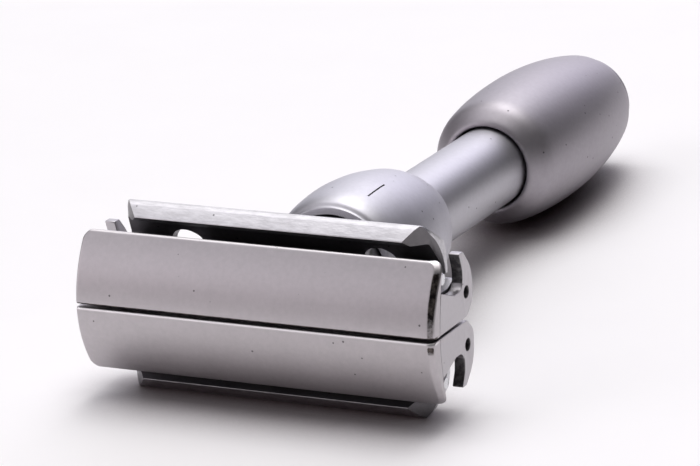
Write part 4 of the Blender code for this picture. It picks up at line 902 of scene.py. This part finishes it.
def satin_metal(name, colour, roughness, grain, cloud, streak=(1, 1, 1), scuffs_and_painted_light=None):
    """Blasted and plated metal: fine grain, faint clouds and dust specks, and where dark tones are given,
    abraded marks, painted shade and painted highlights as a mesh's edge values say.
    """
    material, tree, shader = new_material(name)
    shader.inputs["Metallic"].default_value = 1.0
    coordinates = node(tree, 'ShaderNodeTexCoord', (-1500, 0))
    plain = coordinates.outputs["Object"]
    mapping = node(tree, 'ShaderNodeMapping', (-1300, 0), Scale=streak)
    tree.links.new(plain, mapping.inputs["Vector"])
    streaked = mapping.outputs["Vector"]
    fine = noise(tree, streaked, (-1100, 300), FINE_GRAIN_SCALE, 3.0, 0.65)
    medium = noise(tree, streaked, (-1100, 0), COARSE_GRAIN_SCALE, 4.0, 0.65)
    clouds = noise(tree, plain, (-1100, -300), CLOUD_SCALE, 4.0, 0.55)
    tone = span(tree, clouds, (-850, -300), 0.3, 0.7, 1 - 0.05 * cloud, 1 + 0.05 * cloud)
    speckle = span(tree, medium, (-850, 0), 0.3, 0.7, 1 - 0.06 * grain, 1 + 0.06 * grain)
    tone = math_node(tree, 'MULTIPLY', (-650, -150), tone, speckle)
    tone = math_node(tree, 'MULTIPLY', (-500, -250), tone, dust_tone(tree, plain))
    scaled = node(tree, 'ShaderNodeVectorMath', (-350, 200), operation='SCALE')
    scaled.inputs[0].default_value = colour
    tree.links.new(tone, scaled.inputs["Scale"])
    base = scaled.outputs[0]
    rough = span(tree, clouds, (-650, 500), 0.3, 0.7, roughness - 0.04 * cloud, roughness + 0.04 * cloud)
    if scuffs_and_painted_light:
        base, rough = apply_scuffs_and_painted_light(tree, plain, base, rough, scuffs_and_painted_light)
    tree.links.new(base, shader.inputs["Base Color"])
    tree.links.new(rough, shader.inputs["Roughness"])
    height = math_node(tree, 'MULTIPLY_ADD', (-500, -600), medium, 0.6, fine)
    bumped(tree, shader, height, 0.35 * grain, (-250, -500))
    return material


def soft_plastic(name, colour, roughness, scale):
    """Paint, rubber or nylon with a fine moulded texture."""
    material, tree, shader = new_material(name)
    coordinates = node(tree, 'ShaderNodeTexCoord', (-900, 0))
    grain = noise(tree, coordinates.outputs["Object"], (-700, 0), scale, 4.0, 0.6)
    darker = tuple(channel * 0.8 for channel in colour[:3]) + (1.0,)
    tree.links.new(mix_colour(tree, grain, darker, colour, (-400, 200)), shader.inputs["Base Color"])
    rough = span(tree, grain, (-400, 0), 0.2, 0.8, roughness - 0.08, roughness + 0.08)
    tree.links.new(rough, shader.inputs["Roughness"])
    bumped(tree, shader, grain, 0.3, (-400, -300))
    return material


# Doors: abraded band, painted seam shade and painted highlights
door_satin = satin_metal("satin_door", (0.478, 0.451, 0.465), 0.38, 0.7, 0.6, scuffs_and_painted_light=DOOR_SCUFF_AND_SEAM_SHADE)
# End plates: painted shade in their pin holes and notch
plate_satin = satin_metal("satin_end_plate", (0.47, 0.450, 0.468), 0.36, 0.5, 0.5, scuffs_and_painted_light=PLATE_PAINTED_SHADE)
guard_satin = satin_metal("satin_guard", (0.55, 0.54, 0.56), 0.33, 2.6, 1.2, streak=(0.35, 1, 1))
sleeve_satin = satin_metal("satin_sleeve", (0.56, 0.55, 0.56), 0.34, 0.5, 0.4)
dial_satin = satin_metal("satin_dial", (0.53, 0.52, 0.56), 0.50, 0.6, 0.3)
handle_satin = satin_metal("satin_handle", (0.52, 0.51, 0.545), 0.46, 0.6, 0.3)
knob_satin = satin_metal("satin_knob", (0.388, 0.364, 0.394), 0.50, 0.7, 0.4)
dark_chrome = satin_metal("dark_chrome_inside", (0.40, 0.39, 0.42), 0.40, 0.8, 1.0)
steel_bright = satin_metal("steel_turned", (0.66, 0.66, 0.68), 0.24, 0.5, 0.6, streak=(1, 6, 1))
# Near-black pins standing in for the shade inside their holes
pin_painted_shade = satin_metal("hinge_pin_painted_shade", (0.02, 0.018, 0.02), 0.55, 0.5, 0.6)
# Painted shade for the guard's trough and drain holes
recess_painted_shade = satin_metal("recess_painted_shade", (0.155, 0.148, 0.155), 0.46, 0.8, 1.0)
# Painted shade for the guard's sloping ends
slope_painted_shade = satin_metal("guard_slope_painted_shade", (0.18, 0.172, 0.18), 0.40, 1.2, 1.0)
brass_turned = satin_metal("brass_turned", (0.66, 0.50, 0.24), 0.30, 0.5, 0.8)
mark_paint = soft_plastic("mark_paint", (0.012, 0.012, 0.013, 1), 0.6, 2500)
rubber_black = soft_plastic("rubber_black", (0.025, 0.025, 0.025, 1), 0.75, 1800)
nylon_white = soft_plastic("nylon_white", (0.72, 0.70, 0.64, 1), 0.5, 900)

CAD_FINISHES = (
    (dark_chrome, ("blade_tray", "neck_tube", "centre_bar")),
    (steel_bright, ("guard_spring", "detent_ball", "detent_spring", "knob_retaining_clip",
                    "guard_screw_right", "guard_screw_left", "dial_snap_ring", "drive_rod",
                    "rod_lock_nut")),
    (brass_turned, ("rod_guide_bush", "drive_nut")),
    (rubber_black, ("knob_friction_ring",)),
    (nylon_white, ("knob_thrust_washer",)),
)


# Pieces on the frame
def dress(thing, body, name, material, angle=40):
    """Lay a fine piece down on the frame, shade it and let it stand for a CAD node."""
    thing.data.transform(rest)
    if not thing.data.materials:
        thing.data.materials.append(material)
    shade(thing, angle)
    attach(thing, body)
    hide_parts(name)


def dress_door_end(door, side, hand, end):
    """Hooked plate of one door's end, with its hinge pin and its cam pin."""
    name = f"{door}_door_end_{hand}"
    dress(new_object(name + "_fine", door_end_mesh(name, side, end)), door + "_door", name, plate_satin)
    name = f"door_hinge_pin_{door}_{hand}"
    inner, outer = (end * place for place in HINGE_PIN_SPAN)
    pin = pin_mesh(name, HINGE_PIN_RADIUS, side * HINGE_HALF_SPACING, HINGE_DEPTH, inner, outer,
                   HINGE_PIN_BEVEL)
    # Near-black hinge pins as painted shade in their holes
    dress(new_object(name + "_fine", pin), "carriage", name, pin_painted_shade)
    name = f"door_cam_pin_{door}_{hand}"
    inner, outer = (end * place for place in CAM_PIN_SPAN)
    pin = pin_mesh(name, CAM_PIN_RADIUS, side * CAM_PIN_ACROSS, CAM_PIN_DEPTH, inner, outer, CAM_PIN_BEVEL)
    dress(new_object(name + "_fine", pin), "handle", name, steel_bright)


def dress_door(door, side):
    """One door's cap with both of its ends."""
    name = door + "_door_cap"
    cap = new_object(name + "_fine", door_cap_mesh(name, side))
    dress(cap, door + "_door", name, door_satin, angle=50)
    dress_door_end(door, side, "right", RIGHT)
    dress_door_end(door, side, "left", LEFT)


def finish_cad_nodes():
    """Give the CAD nodes that stay their finishes, and the largest ones soft edges."""
    for material, names in CAD_FINISHES:
        for name in names:
            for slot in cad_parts[name].material_slots:
                slot.material = material
    for name in ("blade_tray", "centre_bar"):
        soften(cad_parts[name], FRAME_NODE_BEVEL * MM)


rest = resting_place()
dress_door("upper", 1)
dress_door("lower", -1)
dress(guard_object(), "guard", "guard_plate", guard_satin)
dress(new_object("guard_sleeve_fine", sleeve_mesh()), "guard", "guard_sleeve", sleeve_satin)
dress(dial_object(), "dial", "adjusting_dial", dial_satin, angle=50)
dress(new_object("handle_tube_fine", handle_mesh()), "handle", "handle_tube", handle_satin)
dress(new_object("twist_knob_fine", knob_mesh()), "knob", "twist_knob", knob_satin, angle=50)
dress(new_object("knob_end_cap_fine", end_cap_mesh()), "knob", "knob_end_cap", knob_satin)
finish_cad_nodes()


# Studio
def floor_material():
    """Pale table top with a faint unevenness, and a painted shadow, darker and warmer, where something lies
    on it.
    """
    material, tree, shader = new_material("pale_table")
    shader.inputs["Roughness"].default_value = 0.55
    shader.inputs["Specular IOR Level"].default_value = 0.2
    coordinates = node(tree, 'ShaderNodeTexCoord', (-900, 0))
    fibres = noise(tree, coordinates.outputs["Object"], (-700, 0), FLOOR_FIBRE_SCALE, 4.0, 0.5)
    pale = mix_colour(tree, fibres, *FLOOR_TONES, (-400, 200))
    nearness = node(tree, 'ShaderNodeAmbientOcclusion', (-700, -250), samples=8)
    nearness.inputs["Distance"].default_value = PAINTED_SHADOW_REACH
    openness = span(tree, nearness.outputs["AO"], (-450, -250), 0.10, 0.80, 0.0, 1.0)
    painted_shadow = mix_colour(tree, openness, PAINTED_SHADOW_COLOUR, (1, 1, 1, 1), (-250, -150))
    shaded = node(tree, 'ShaderNodeVectorMath', (-150, 150), operation='MULTIPLY')
    tree.links.new(pale, shaded.inputs[0])
    tree.links.new(painted_shadow, shaded.inputs[1])
    tree.links.new(shaded.outputs[0], shader.inputs["Base Color"])
    return material


def add_floor():
    """The table top that the razor lies on."""
    half = FLOOR_HALF_SIZE
    mesh = bpy.data.meshes.new("floor")
    mesh.from_pydata([(-half, -half, 0), (half, -half, 0), (half, half, 0), (-half, half, 0)], [],
                     [(0, 1, 2, 3)])
    floor = new_object("floor", mesh)
    floor.data.materials.append(floor_material())


def add_light():
    """World of soft glows, each at an azimuth and elevation with a tightness and a colour."""
    world = bpy.data.worlds.new("studio")
    world.use_nodes = True
    tree = world.node_tree
    coordinates = node(tree, 'ShaderNodeTexCoord', (-1400, 0))
    total = AMBIENT
    for index, (name, azimuth, elevation, tightness, colour) in enumerate(GLOWS):
        row = -200 * index
        turn, climb = math.radians(azimuth), math.radians(elevation)
        towards = (math.cos(climb) * math.cos(turn), math.cos(climb) * math.sin(turn), math.sin(climb))
        facing = node(tree, 'ShaderNodeVectorMath', (-1200, row), operation='DOT_PRODUCT', label=name)
        tree.links.new(coordinates.outputs["Generated"], facing.inputs[0])
        facing.inputs[1].default_value = towards
        away = math_node(tree, 'MULTIPLY_ADD', (-1000, row), facing.outputs["Value"], tightness, -tightness)
        glow = math_node(tree, 'EXPONENT', (-800, row), away)
        added = node(tree, 'ShaderNodeVectorMath', (-600, row), operation='MULTIPLY_ADD')
        tree.links.new(glow, added.inputs[0])
        added.inputs[1].default_value = colour
        feed(tree, added.inputs[2], total)
        total = added.outputs[0]
    tree.links.new(total, tree.nodes["Background"].inputs["Color"])
    bpy.context.scene.world = world


def add_camera():
    """Camera at the photograph's viewing angle."""
    data = bpy.data.cameras.new("camera")
    data.sensor_width = SENSOR_WIDTH_MM
    data.lens = SENSOR_WIDTH_MM * FOCAL_LENGTH_PIXELS / PHOTO_WIDTH_PIXELS
    data.clip_start = NEAREST_SEEN
    camera = new_object("camera", data)
    camera.location = CAMERA_PLACE
    camera.rotation_euler = tuple(math.radians(angle) for angle in CAMERA_TURN)
    bpy.context.scene.camera = camera


add_floor()
add_light()
add_camera()
bpy.context.scene.view_settings.view_transform = 'Standard'
